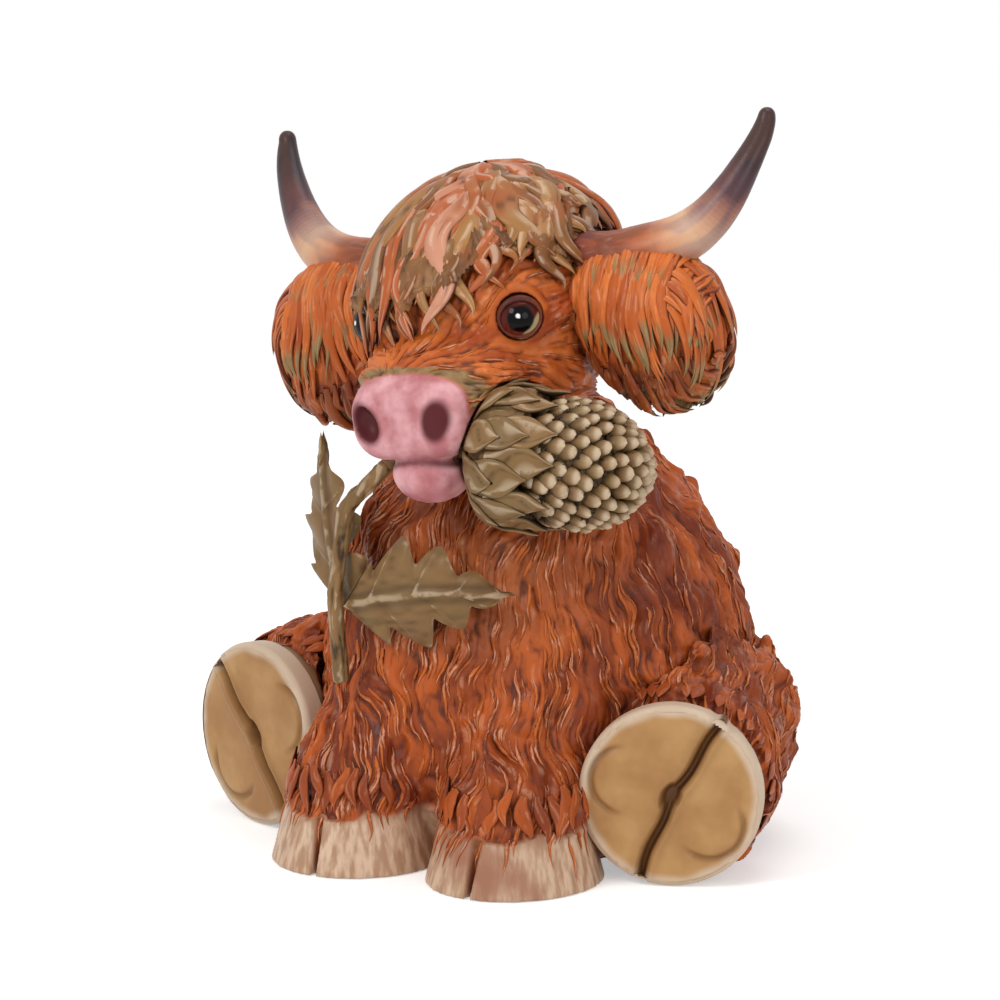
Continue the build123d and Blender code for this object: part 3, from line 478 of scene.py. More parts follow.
def plug_in(tree, made, inputs):
    """Gives a node what it reads: a socket is linked, and anything else is a set value."""
    for title, value in inputs.items():
        if isinstance(value, bpy.types.NodeSocket):
            tree.links.new(value, made.inputs[title])
        else:
            made.inputs[title].default_value = value
    return made


def wire(tree, kind, inputs=None, **settings):
    """Adds a node, sets it and links what it reads."""
    made = tree.nodes.new(kind)
    for title, value in settings.items():
        setattr(made, title, value)
    return plug_in(tree, made, inputs or {})


def blend(tree, share, one, two, way="MIX"):
    """One colour laid over another. A colour is a socket, or its six digits."""
    one, two = [ink(color) if isinstance(color, str) else color for color in (one, two)]
    inputs = {0: share, 6: one, 7: two}
    return wire(tree, "ShaderNodeMix", inputs, data_type="RGBA", blend_type=way).outputs[2]


def step_up(tree, value, start, end):
    """A smooth step from 0 to 1."""
    inputs = {"Value": value, "From Min": start, "From Max": end}
    return wire(tree, "ShaderNodeMapRange", inputs, interpolation_type="SMOOTHSTEP").outputs[0]


def reckon(tree, kind, one, two, clamp=True):
    """One step of arithmetic, kept between 0 and 1 unless told otherwise."""
    return wire(tree, "ShaderNodeMath", {0: one, 1: two}, operation=kind, use_clamp=clamp).outputs[0]


def speckle(tree, scale, detail=3.0, stretch=(1, 1, 1)):
    """Noise over the object, finer for a larger scale."""
    place = wire(tree, "ShaderNodeTexCoord").outputs["Object"]
    place = wire(tree, "ShaderNodeMapping", {"Vector": place, "Scale": stretch}).outputs[0]
    inputs = {"Vector": place, "Scale": scale, "Detail": detail}
    return wire(tree, "ShaderNodeTexNoise", inputs).outputs["Fac"]


def mottle(tree, one, two, scale, start, end, detail=3.0):
    """Two colours in soft patches."""
    return blend(tree, step_up(tree, speckle(tree, scale, detail), start, end), one, two)


def new_group(name, inputs, outputs):
    """An empty shader node group with named sockets."""
    tree = bpy.data.node_groups.new(name, "ShaderNodeTree")
    for title, kind, value in inputs:
        tree.interface.new_socket(title, in_out="INPUT", socket_type=kind).default_value = value
    for title, kind in outputs:
        tree.interface.new_socket(title, in_out="OUTPUT", socket_type=kind)
    return tree, tree.nodes.new("NodeGroupInput").outputs, tree.nodes.new("NodeGroupOutput").inputs


# %% Group: dark glaze in the grooves, and painted shade where masses meet
COLOR, FLOAT = "NodeSocketColor", "NodeSocketFloat"
glaze, into, out = new_group("groove glaze and crease shade", [
    ("Color", COLOR, ink("b5532a")), ("Glaze", COLOR, ink("43211f")), ("Relief", FLOAT, 0.5),
    ("Crease Shade", FLOAT, 0.0), ("Amount", FLOAT, 0.8)], [("Color", COLOR)])
low = reckon(glaze, "MULTIPLY", step_up(glaze, into["Relief"], 0.52, 0.06), into["Amount"])
patchy = step_up(glaze, speckle(glaze, 160.0), 0.30, 0.62)
patchy = wire(glaze, "ShaderNodeMapRange", {"Value": patchy, "To Min": 0.62, "To Max": 0.95}).outputs[0]
# painted shade: where masses crowd, the glaze colour is laid on, a little unevenly
deep = reckon(glaze, "MULTIPLY", into["Crease Shade"], patchy)
glaze.links.new(blend(glaze, reckon(glaze, "MAXIMUM", low, deep), into["Color"], into["Glaze"]), out["Color"])

# %% Group: dry brush on the ridges
brush, into, out = new_group("dry brush", [
    ("Color", COLOR, ink("b5532a")), ("Light", COLOR, ink("f0d0b4")), ("Relief", FLOAT, 0.5),
    ("Amount", FLOAT, 0.5), ("Cover", FLOAT, 0.5)], [("Color", COLOR)])
high = step_up(brush, into["Relief"], 0.70, 0.98)
broken = step_up(brush, reckon(brush, "ADD", speckle(brush, 230.0, 4.0), into["Cover"]), 0.90, 1.12)
high = reckon(brush, "MULTIPLY", reckon(brush, "MULTIPLY", high, broken), into["Amount"])
brush.links.new(blend(brush, high, into["Color"], into["Light"]), out["Color"])

# %% Group: the fine skin of the varnish
grain, into, out = new_group("varnish grain", [
    ("Scale", FLOAT, 900.0), ("Smooth", FLOAT, 0.32), ("Rough", FLOAT, 0.55)],
    [("Height", FLOAT), ("Roughness", FLOAT)])
place = wire(grain, "ShaderNodeTexCoord").outputs["Object"]
fine = wire(grain, "ShaderNodeTexNoise", {"Vector": place, "Scale": into["Scale"], "Detail": 2.0})
grain.links.new(fine.outputs["Fac"], out["Height"])
worn = wire(grain, "ShaderNodeMapRange", {
    "Value": speckle(grain, 90.0), "From Min": 0.3, "From Max": 0.7, "To Min": into["Smooth"],
    "To Max": into["Rough"]})
grain.links.new(worn.outputs[0], out["Roughness"])
print("node groups:", [g.name for g in (glaze, brush, grain)])


# %% [markdown]
# ## One way to finish a material
# Every painted surface ends alike: glaze, dry brush, a thin satin varnish and its grain. What differs is
# the colour under them, so each material passes that in.

# %% Start and end of a material
def new_material(name):
    """A material with an empty node tree."""
    material = bpy.data.materials.new(name)
    material.use_nodes = True
    tree = material.node_tree
    tree.nodes.clear()
    return material, tree


def value_of(tree, title):
    """A value that is painted on the piece."""
    return wire(tree, "ShaderNodeAttribute", attribute_name=title).outputs["Fac"]


def over(tree, title, color, paint):
    """A paint laid on where the piece says so."""
    return blend(tree, value_of(tree, title), color, paint)


def call(tree, group, inputs):
    """A node group placed in a material."""
    made = tree.nodes.new("ShaderNodeGroup")
    made.node_tree = group
    return plug_in(tree, made, inputs)


def wash(tree, color, dark, amount):
    """Dark glaze over a colour, wiped from the ridges, with painted shade where masses meet."""
    inputs = {"Color": color, "Glaze": ink(dark), "Relief": value_of(tree, "relief")}
    return call(tree, glaze, inputs | {"Crease Shade": value_of(tree, "crease"), "Amount": amount}).outputs[0]


def dry_brush(tree, color, light, amount, cover):
    """Pale paint dragged over the ridges."""
    inputs = {"Color": color, "Light": ink(light), "Relief": value_of(tree, "relief")}
    return call(tree, brush, inputs | {"Amount": amount, "Cover": cover}).outputs[0]


def varnish(tree, color, smooth=0.34, rough=0.58, bump=0.15, coat=0.10, coat_rough=0.30, specular=0.18):
    """The last layers: grain, bump and a satin clear coat."""
    skin = call(tree, grain, {"Scale": 900.0, "Smooth": smooth, "Rough": rough})
    raised = {"Strength": bump, "Distance": 0.0002, "Height": skin.outputs["Height"]}
    shader = wire(tree, "ShaderNodeBsdfPrincipled", {
        "Base Color": color, "Roughness": skin.outputs["Roughness"],
        "Normal": wire(tree, "ShaderNodeBump", raised).outputs[0],
        "Coat Weight": coat, "Coat Roughness": coat_rough, "Specular IOR Level": specular})
    wire(tree, "ShaderNodeOutputMaterial", {"Surface": shader.outputs[0]})


# %% [markdown]
# ## The coat, hooves and bare skin
# One casting can hold hair, hoof and bare skin, with soft edges between them, so one material paints all
# three and reads from the piece which is where.

# %% Coat paint
def coat_material(name, deep="a6481c", bright="d87332", khaki="94764c", light="f0c49c", ridge=0.60):
    """Rust and orange hair, with khaki tips, pale hoof and pink skin where the piece says so, and painted shade in
    clefts, grooves and nostrils.
    """
    material, tree = new_material(name)
    uneven = reckon(tree, "SUBTRACT", speckle(tree, 70.0), 0.45, clamp=False)
    color = blend(tree, reckon(tree, "ADD", value_of(tree, "hue"), uneven), deep, bright)
    color = over(tree, "tan", color, "b5683a")
    color = blend(tree, step_up(tree, value_of(tree, "tip"), 0.25, 0.85), color, khaki)
    color = wash(tree, color, "3e1a1a", 0.80)
    color = dry_brush(tree, color, light, ridge, 0.45)
    streak = step_up(tree, speckle(tree, 620.0, 4.0, (1.0, 1.0, 0.10)), 0.36, 0.66)
    hoof = mottle(tree, blend(tree, streak, "b78f71", "dfc0a4"), "a8755c", 45.0, 0.50, 0.72)
    # painted shade in the hoof clefts and under the hem of the hair
    color = over(tree, "hoof", color, over(tree, "recess_shade", hoof, "8a4f2c"))
    sole = over(tree, "rim", mottle(tree, "ab7c4c", "c59963", 60.0, 0.35, 0.70, 4.0), "d8c0a6")
    # painted shade in the sole's cleft, pit and crescents
    color = over(tree, "sole", color, over(tree, "recess_shade", sole, "6b4626"))
    pink = mottle(tree, "b96f73", "e8aeb2", 110.0, 0.35, 0.68, 4.0)
    # painted shade in the nostrils and along the mouth
    color = over(tree, "skin", color, over(tree, "recess_shade", pink, "571a1e"))
    varnish(tree, color)
    return material


coat_paint = coat_material("coat_paint")
body_paint = coat_material("body_paint", deep="752d13", bright="bd5a22", light="e8b48e")
print("coat paint:", len(coat_paint.node_tree.nodes), "nodes")


# %% [markdown]
# # The body casting
# Torso, ruff, both front legs and the tail are one casting in the frame, and it is hollow. Only the outside
# is carved, so the part of the skin that lies inside the wall is cut away first. The hair hangs straight
# down and is turned from side to side by a wave, tighter on the legs than on the chest. The front hooves
# stay smooth, and a cleft is pressed into each.

# %% The hollow of the body casting
# height, half width, half depth and middle of the depth of the wall, from the floor up
WALL_OVALS = np.array([(0.0, 40.0, 42.9, 56.0), (6.36, 46.0, 49.5, 55.0), (21.2, 50.0, 53.9, 52.0),
                       (40.3, 50.5, 55.5, 51.0), (61.5, 46.0, 52.8, 50.0), (77.4, 38.5, 43.5, 48.0),
                       (91.2, 30.0, 34.1, 44.0), (106.0, 19.0, 19.8, 38.0)])
WALL_FROM, WALL_TO = 1.6, 84.0
FRONT_LINE = 27.0
nets, combs = {}, {}


def inside_wall(points, margin=5.0):
    """Whether points lie in the hollow of the body casting."""
    height = points[:, 2]
    wide, deep, back = [np.interp(height, WALL_OVALS[:, 0], WALL_OVALS[:, k]) for k in (1, 2, 3)]
    x = points[:, 0] / (wide - margin)
    y = (points[:, 1] - SHIFT[1] - back) / (deep - margin)
    return (x * x + y * y < 1) & (height > WALL_FROM) & (height < WALL_TO)


def in_front(points, line=FRONT_LINE):
    """Whether points lie before a line across the figure."""
    return points[:, 1] < SHIFT[1] + line


# %% Skin of the body casting
HOOF_TOP, HOOF_APART = 14.5, 21.0
CLEFT_DEPTH = 1.5


def press_clefts(net, on_hoof):
    """Presses the cleft of each front hoof, and gives where it is."""
    height = net.points[:, 2]
    cleft = 0
    for side, _ in SIDES:
        away = np.abs(net.points[:, 0] - SHIFT[0] - HOOF_APART * side - 0.05 * side * height)
        here = on_hoof * (1 - ramp(away / (0.5 + 0.06 * height), 0.4, 1.5)) * in_front(net.points, -8)
        net.points[:, 1] += CLEFT_DEPTH * here
        cleft = np.maximum(cleft, here)
    return cleft


def body_skin():
    """The carved outside of the body casting, and its comb."""
    net = skin_over("body_casting", GRAIN)
    net = net.without(inside_wall(net.points))
    hoof_line = HOOF_TOP + 1.6 * noise(net.points, 5.0) + 0.06 * (net.points[:, 1] - SHIFT[1])
    on_hoof = in_front(net.points) * (1 - ramp(net.points[:, 2], hoof_line - 0.6, hoof_line + 0.6))
    net.soften(int(14 / GRAIN), hold=np.maximum(on_hoof, 1 - ramp(net.points[:, 2], 0.5, 3.0)))
    height = net.points[:, 2]
    legs = 1 - ramp(height, 58, 84)
    swing = legs * 0.70 * wave(height, 10.5, 5.5 * noise(net.points, 12.0))
    swing += (1 - 0.6 * legs) * noise(net.points, 17.0, 5.0)
    swing += (1 - legs) * 0.35 * wave(height, 12, 5 * noise(net.points, 14.0, 9.0))
    cleft = press_clefts(net, on_hoof)
    comb = carve(net, DOWN, swing, on_hoof)
    net.paint["hoof"] = on_hoof
    # painted shade in each cleft and at the top of the hoof, under the hem of the hair
    net.paint["recess_shade"] = on_hoof * np.clip(0.7 * ramp(net.points[:, 2], 11.5, 15.5) + cleft, 0, 1)
    chest = np.exp(-(((net.points[:, 0] - 10) / 20) ** 2 + ((net.points[:, 2] - 72) / 16) ** 2))
    net.paint["tan"] = 0.75 * chest * in_front(net.points, 30)
    return net, comb


nets["body"], combs["body"] = body_skin()
print("body casting:", len(nets["body"].points), "points", f"{time.time() - started:.0f} s")

# %% [markdown]
# # The hind legs
# Each hind leg sits beside the rump with its sole to the front. Its hair sweeps from the thigh towards the
# hoof. The skin is cut open under the sole, which is a crisper piece of its own.

# %% Skins of the hind legs
SOLE_AT = np.array([57.0, 14.0, 22.0])
SWEEP_TO = np.array([57.0, 14.0, 20.0])
SOLE_TURN = turn_about("Z", 23.0) @ turn_about("X", 90.0)


def to_sole(points, side):
    """Points seen from a sole: across it, up it and out of it."""
    return (points * mirror(side) - (SOLE_AT + SHIFT * mirror(side))) @ SOLE_TURN


def from_sole(points, side):
    """Points drawn on a sole, carried into the figure."""
    return (points @ SOLE_TURN.T + SOLE_AT) * mirror(side) + SHIFT


def hind_leg_skin(side, name):
    """A carved hind leg, open under its sole, and its comb."""
    leg = skin_over(name, GRAIN)
    x, y, out = to_sole(leg.points, side).T
    radius = np.hypot(x, y)
    hem = -9.0 + 1.3 * np.sin(9 * np.arctan2(y, x)) * noise(leg.points, 6.0)
    on_hoof = ramp(out, hem - 0.5, hem + 0.5) * (radius < 25)
    leg.soften(int(9 / GRAIN), hold=on_hoof)
    toward = unit(SWEEP_TO * mirror(side) + SHIFT - leg.points)
    toward[:, 2] -= 0.45
    swing = 0.55 * wave(out, 10, 5 * noise(leg.points, 11.0)) + 0.5 * noise(leg.points, 14.0)
    comb = carve(leg, toward, swing, on_hoof)
    leg.paint["sole"] = on_hoof
    leg.paint["rim"] = on_hoof * ramp(radius, 18.5, 21.5) * (1 - 0.6 * ramp(-out, 2, 8))
    # painted shade towards the back of the hoof, under the hem of the hair
    leg.paint["recess_shade"] = on_hoof * 0.8 * ramp(-out, 4, 9)
    return leg.without((radius < 20.6) & (out > -6.5)), comb


for side, name in SIDES:
    name = "hind_leg_" + name
    nets[name], combs[name] = hind_leg_skin(side, name)
print("hind legs:", len(nets["hind_leg_left"].points), "points each", f"{time.time() - started:.0f} s")

# %% [markdown]
# ## Soles
# A sole is a smooth pale disc, split by a cleft that bends at a small pit in the middle, with a crescent
# pressed into each half. It is drawn on rings and spokes, finer than the coat, because its edges are crisp.
# The last rings run back under the hem of the hair, so that no gap shows.

# %% Draw the soles
SOLE_FLAT, SOLE_ROUND = 20.4, 1.6
SOLE_RINGS, SOLE_SPOKES = 150, 320
CLEFT_BEND = 7


def turned(x, y, degrees):
    """Flat places, seen from axes that are turned."""
    c, s = math.cos(math.radians(degrees)), math.sin(math.radians(degrees))
    return x * c + y * s, y * c - x * s


def sole_net(side, roll):
    """The sole of one hind hoof, with its rounded edge. roll turns its cleft from the vertical."""
    edge = np.linspace(0.1, np.pi / 2, 12)
    radius = np.concatenate([np.linspace(0.02, SOLE_FLAT, SOLE_RINGS),
                             SOLE_FLAT + SOLE_ROUND * np.sin(edge), [21.95, 21.8]])[:, None]
    sunk = np.concatenate([np.zeros(SOLE_RINGS), SOLE_ROUND * (1 - np.cos(edge)), [3.0, 5.5]])[:, None]
    turn = np.linspace(0, 2 * np.pi, SOLE_SPOKES, endpoint=False)[None]
    x, y = radius * np.cos(turn), radius * np.sin(turn)
    flat = np.stack([x, y, 0 * x + 10 * side], -1).reshape(-1, 3)
    slow, quick, worn = [noise(flat, cell).reshape(x.shape) for cell in (7.0, 1.4, 4.0)]
    away = 99.0
    for bearing in (CLEFT_BEND - 90 - roll, 90 - CLEFT_BEND - roll):
        ahead, beside = turned(x, y, bearing)
        wander = 0.5 * np.sin(radius / 3.2 + bearing)
        away = np.where(ahead > -0.5, np.minimum(away, np.abs(beside + wander)), away)
    cleft = 1 - ramp(away, 0.15, 1.9)
    across, up = turned(x, y, -roll)
    pit = 1 - ramp(np.hypot(across / 2.9, up / 4.6), 0.35, 1.0)
    moons = 0
    for half in (1, -1):
        u, v = across - 11.2 * half, up + 1.8
        face = np.cos(np.arctan2(v, u * half) + math.radians(25))
        moons = moons + np.exp(-((np.hypot(u, v) - 8.2) / 0.75) ** 2) * ramp(face, -0.1, 0.6)
    z = 0.16 * slow + 0.05 * quick - 0.25 * (radius / 20) ** 2
    z = z - 3.2 * np.maximum(cleft, pit) + 0.30 * np.exp(-((away - 2.4) / 0.7) ** 2) - 0.85 * moons
    net = disc_net(from_sole(np.stack([x, y, z - sunk], -1).reshape(-1, 3), side), x.shape, side)
    # painted shade in the cleft, the pit and the crescents, and a little beside the cleft
    recess_shade = ramp(cleft, 0.25, 0.9) + pit + 0.55 * moons + 0.18 * ramp(-away, -5, -2)
    net.paint = {"sole": 1.0, "relief": 0.6, "rim": ramp(radius + 0.8 * worn, 18.6, 21.0).ravel(),
                 "recess_shade": np.clip(recess_shade, 0, 1).ravel()}
    return net


soles = {"left": sole_net(1, 27.0), "right": sole_net(-1, 40.0)}
print("soles:", len(soles["left"].points), "points each")

# %% [markdown]
# # The head casting
# The hair on the face starts at the nose and sweeps back and down over the cheeks. The nose pad and the
# lower lip are bare, so nothing is carved there but a few wrinkles.

# %% Skin of the head casting
EYE_AT = np.array([20.5, -20.5, 3.0])
NOSE_UP, LIP_UP, MOUTH_UP = -16.6, -32.3, -26.8
NOSTRIL_AT = np.array([10.0, -46.0, NOSE_UP])


def nostrils(seen):
    """1 in the two nostrils, which are painted in shade, for points in the head's frame."""
    dark = 0
    for side, _ in SIDES:
        x, y, z = ((seen - NOSTRIL_AT * mirror(side)) @ turn_about("Y", 24.0 * side)).T
        away = np.sqrt((x / 3.6) ** 2 + (y / 4.6) ** 2 + (z / 4.9) ** 2)
        dark = np.maximum(dark, 1 - ramp(away, 0.80, 1.35))
    return dark


def head_skin():
    """The carved head, its comb, and 1 where no hair grows."""
    head = skin_over("head_casting", 0.45, 0.9)
    seen = to_head(head.points)
    x, y, z = seen.T
    pad = ((np.abs(x) / 16.4) ** 3 + (np.abs(z - NOSE_UP) / 10.6) ** 3) ** (1 / 3)
    nose = (1 - ramp(pad, 0.97, 1.06)) * (y < -32)
    lip_away = np.sqrt((x / 10.8) ** 2 + ((z - LIP_UP) / 7.8) ** 2)
    lip = (1 - ramp(lip_away, 0.94, 1.06)) * (y < -28) * (z < -26.2)
    skin = np.maximum(nose, lip)
    eye_away = np.min([np.linalg.norm(seen - EYE_AT * mirror(side), axis=1) for side, _ in SIDES], 0)
    head.soften(10, hold=np.maximum(0.75 * skin, 1 - ramp(eye_away, 7.5, 10)))
    seen = to_head(head.points)
    from_nose = unit(seen - np.array([0.0, -46.0, -15.6]))
    from_nose[:, 2] -= 0.35
    swing = 0.45 * noise(head.points, 9.0)
    swing = swing + 0.25 * np.sin(from_nose[:, 1] * 9 + 5 * noise(head.points, 12.0))
    bare = np.maximum(skin, 1 - ramp(eye_away, 6.6, 8.6))
    comb = carve(head, from_nose @ HEAD_TURN.T, swing, bare, (1.1, 0.75, 0.45), cells=(3.8, 1.9, 1.0))
    wrinkle = noise(seen * [1.0, 1.0, 0.35], 1.3)
    head.points += head.normals() * (0.16 * lip * wrinkle)[:, None]
    mouth = np.exp(-((z - MOUTH_UP + 0.02 * x * x) / 0.9) ** 2) * (np.abs(x) < 15) * (y < -26)
    head.paint["skin"] = skin
    # painted shade in the nostrils and along the mouth line
    head.paint["recess_shade"] = np.clip(nostrils(seen) + 0.8 * mouth, 0, 1)
    head.paint["relief"] = np.where(skin > 0.5, 0.6, head.paint["relief"])
    head.paint["tip"] = 0.9 * np.exp(-((pad - 1.12) / 0.13) ** 2) * (y < -24)
    return head, comb, bare


nets["head"], combs["head"], bare_face = head_skin()
print("head casting:", len(nets["head"].points), "points", f"{time.time() - started:.0f} s")

# %% [markdown]
# # The ears
# An ear is a drooping cup under a fringe of long hair. The cup comes from the frame and is carved here, and the fringe
# is laid over it later, lock by lock. Its open side, below and in front, is painted in shade.

# %% Skins of the ears
def ear_skin(side, name):
    """A carved ear, with painted shade in its hollow and its khaki lower edge painted on."""
    ear = skin_over(name, 0.5, 0.9)
    ear.soften(6)
    hang = np.array([0.30 * side, -0.12, -1.0])
    carve(ear, hang, 0.35 * noise(ear.points, 8.0), depth=(1.0, 0.7, 0.45), cells=(3.6, 1.9, 1.0))
    seen = to_head(ear.points)
    # painted shade in the open side of the ear, below and in front
    ear.paint["hollow"] = 0.85 * ramp(-seen[:, 2] - 7, 1, 9) * ramp(1 - seen[:, 1], 2, 8)
    lowest = 1000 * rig.box(name)[0].z
    ear.paint["tip"] = 1 - ramp(ear.points[:, 2], lowest + 3, lowest + 13)
    return ear


for side, name in SIDES:
    nets["ear_" + name] = ear_skin(side, "ear_" + name)
print("ears:", len(nets["ear_left"].points), "points each", f"{time.time() - started:.0f} s")

# %% [markdown]
# ## Where the masses crowd together
# Painted shade goes where two masses meet, laid on in the colour of the dark glaze. Those places have more skin near
# them than an open surface has, so the points are counted in a coarse block of cells, spread out, and read back at
# each point.

# %% Painted shade where masses meet
def paint_crease_shade(all_nets, cell=2.0, spread=3):
    """Paints shade by how crowded the skin is round each point: 0 in the open, 1 deep where masses meet."""
    points = np.concatenate([net.points for net in all_nets])
    _, shape, flat = block_of(points, cell, 8)
    block = np.bincount(flat, minlength=int(np.prod(shape))).reshape(shape)
    for _ in range(spread):
        for axis in range(3):
            block = block + np.roll(block, 1, axis) + np.roll(block, -1, axis)
    crowd = block.ravel()[flat]
    crowd = crowd / np.median(crowd)
    first = 0
    for net in all_nets:
        net.paint["crease"] = ramp(crowd[first:first + len(net.points)], 1.25, 2.3)
        first += len(net.points)


paint_crease_shade(list(nets.values()))
# the face takes half of this painted shade
nets["head"].paint["crease"] *= 0.5
for _, name in SIDES:
    paint = nets["ear_" + name].paint
    # the ear's hollow joins the painted shade
    paint["crease"] = np.maximum(paint["crease"], paint.pop("hollow"))
print("creases:", {name: round(float(net.paint["crease"].mean()), 2) for name, net in nets.items()})

# %% Make the castings
OFF_FLOOR = 0.05
for name in ("body", "hind_leg_left", "hind_leg_right"):
    nets[name].points[:, 2] = np.maximum(nets[name].points[:, 2], OFF_FLOOR)
make_wedges("body_casting_coat", nets["body"], body_paint, "fur_paint", ["body_casting"], 5)
for kind, paint in (("hind_leg_", body_paint), ("ear_", coat_paint)):
    for _, name in SIDES:
        name = kind + name
        make_piece(name + "_coat", nets[name], paint, "fur_paint", [name])
make_wedges("head_casting_coat", nets["head"], coat_paint, "fur_paint", ["head_casting"], 2)
for _, name in SIDES:
    make_piece("sole_" + name, soles[name], coat_paint, "fur_paint")

# %% [markdown]
# # Locks
# Hair that stands out from the casting is made lock by lock. A lock is a line in space with a direction
# that is up, a width and a thickness at each point, and a few ridges carved along its top. Many locks are
# gathered into one piece, because a casting has them as one mass too.

# %% Gather locks into one net
class Tress:
    """Tapered locks of hair, gathered into one net."""

    def __init__(self):
        self.points, self.loops, self.count = [], [], 0
        self.paint = {"relief": [], "hue": [], "tip": [], "crease": []}

    def add(self, line, up, width, thick, hue, tip=0.0, ridges=3, across=14, twist=0.0, crease=0.0):
        """One lock along a line of points in mm. Its khaki and its painted shade can change along it."""
        rows = len(line)
        along = unit(np.gradient(line, axis=0))
        side = unit(np.cross(along, up))
        up = np.cross(side, along)
        angle = np.linspace(0, 2 * np.pi, across, endpoint=False)
        c, s = np.cos(angle)[None], np.sin(angle)[None]
        t = np.linspace(0, 1, rows)[:, None]
        ridge = np.abs(np.sin(np.pi * ridges * (c + 1) / 2 + 0.9 * np.sin(5 * t + twist)))
        tall = 1 - 0.34 * (1 - ridge) * np.maximum(s, 0)
        points = (line[:, None] + side[:, None] * (width[:, None] / 2 * c)[..., None]
                  + up[:, None] * (thick[:, None] / 2 * s * tall)[..., None])
        # the underside of a lock gets almost no relief, so the glaze lays painted shade under it
        relief = np.where(s > 0.1, (0.22 + 0.78 * ridge) * np.clip(1.5 - np.abs(c) ** 3, 0, 1), 0.05)
        first, right = between_rings(rows, across)
        quads = np.stack([first, right, right + across, first + across], -1).reshape(-1, 4)
        self.points.append(points.reshape(-1, 3))
        self.loops.append(quads + self.count)
        self.count += rows * across
        for title, value in (("relief", relief), ("hue", hue), ("tip", tip), ("crease", crease)):
            value = value[:, None] if np.ndim(value) == 1 else value
            self.paint[title].append(np.broadcast_to(value, (rows, across)).ravel())

    def net(self):
        """All the locks as one net."""
        loops = np.concatenate(self.loops)
        net = Net(np.concatenate(self.points), None, loops.ravel(), np.full(len(loops), 4))
        net.paint = {title: np.concatenate(value) for title, value in self.paint.items()}
        return net


def taper(t, start, fullest, power):
    """The width of a lock along its length, as a share: rising from its root and falling to a point."""
    return (start + (1 - start) * ramp(t, 0, fullest)) * np.clip(1 - t ** power, 0.02, 1)


# %% [markdown]
# ## Loose strands
# A few hairs stand proud of the rest all over the coat, and they are what the dry brush hits first. Each one
# starts at a random point of the skin, follows the comb, and is drawn back to the skin at every step.

# %% Raise single strands
STRAND_STEP, STRAND_LIFT = 0.62, 0.10
EVERY = 3


def raise_strands(name, net, comb, count, grows, seed, size=1.05, steps=16):
    """Thin curved hairs that lie on a net and follow its comb, where hair grows."""
    pick = np.random.default_rng(seed)
    tree = KDTree(len(net.points) // EVERY + 1)
    for index in range(0, len(net.points), EVERY):
        tree.insert(net.points[index], index)
    tree.balance()
    normals = net.normals()
    locks = Tress()
    for start in pick.choice(len(net.points), count, p=grows / grows.sum()):
        here, line, ups = net.points[start], [], []
        run = int(steps * pick.uniform(0.6, 1.25))
        for _ in range(run):
            _, index, _ = tree.find(here)
            normal = normals[index]
            here = here + normal * ((net.points[index] - here) @ normal)
            line.append(here + normal * STRAND_LIFT)
            ups.append(normal)
            here = here + STRAND_STEP * comb.way(here[None])[0]
        t = np.linspace(0, 1, run)
        wide = size * pick.uniform(0.7, 1.3) * taper(t, 0.3, 0.35, 2.2)
        thick = 0.85 * size * taper(t, 0.2, 0.35, 2.2)
        locks.add(np.array(line), np.array(ups), wide, thick, pick.uniform(0.2, 1.0), ridges=1, across=7,
                  twist=pick.uniform(0, 6))
        locks.paint["relief"][-1] = np.clip(locks.paint["relief"][-1] + 0.15, 0, 1)
    make_piece(name, locks.net(), strand_paint, "fur_paint")


# %% Strands of the coat and the face
strand_paint = coat_material("strand_paint", deep="8c3c19", bright="c86a2e", light="f4cdb4", ridge=0.95)
thin = 3 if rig.quick() else 1
ahead = in_front(nets["body"].points)
for place, name, count, where, seed in (
        ("chest", "body", 800, ahead, 5), ("back", "body", 500, ~ahead, 4),
        ("leg_left", "hind_leg_left", 300, True, 8), ("leg_right", "hind_leg_right", 300, True, 9)):
    net = nets[name]
    furred = (1 - net.paint["hoof" if name == "body" else "sole"]) * (net.points[:, 2] > 13) * where
    raise_strands(place + "_strands", net, combs[name], count // thin, furred, seed)
furred = (1 - bare_face) * (1 - ramp(nets["head"].points[:, 2], HEAD_AT[2] + 8, HEAD_AT[2] + 20))
raise_strands("face_strands", nets["head"], combs["head"], 360 // thin, furred, 3, size=0.80, steps=13)

# %% [markdown]
# ## Tufts over the hooves
# The coat ends over each hoof in a fringe of short pointed tufts, some longer than others. A tuft of a hind
# hoof is left out where it would reach the floor or the belly.

# %% Hang the tufts
TUFT_ROWS = 12
FRONT_TUFTS, HIND_TUFTS = 30, 38
ABOVE_FLOOR, BESIDE_BELLY = 1.2, 41.0
tuft_dice = np.random.default_rng(31)
collars = Tress()
t = np.linspace(0, 1, TUFT_ROWS)


def hang_tuft(line, out, size, thick):
    """One pointed tuft over a hoof."""
    collars.add(line, np.tile(out, (TUFT_ROWS, 1)), size * taper(t, 0.4, 0.5, 3.0),
                thick * taper(t, 0.3, 0.5, 3.0), tuft_dice.uniform(0.2, 0.9), twist=tuft_dice.uniform(0, 6))


def front_collar(side):
    """The fringe round a front hoof, hanging down."""
    for index in range(FRONT_TUFTS):
        turn = 2 * math.pi * (index + tuft_dice.uniform(-0.3, 0.3)) / FRONT_TUFTS
        ring = 16.1 + 2.1 * t
        low = 26.0 - tuft_dice.uniform(0, 3.0) - (9.0 + tuft_dice.uniform(-2.0, 3.0)) * t
        around = turn + (tuft_dice.uniform(-0.12, 0.12) * t + 0.05 * np.sin(5 * t + index))
        line = np.stack([ring * np.sin(around) * 1.02 + side * HOOF_APART,
                         -ring * np.cos(around) * 1.06 + 4.2, low], 1) + SHIFT
        hang_tuft(line, [math.sin(turn), -math.cos(turn), 0], tuft_dice.uniform(3.2, 4.8), 1.7)


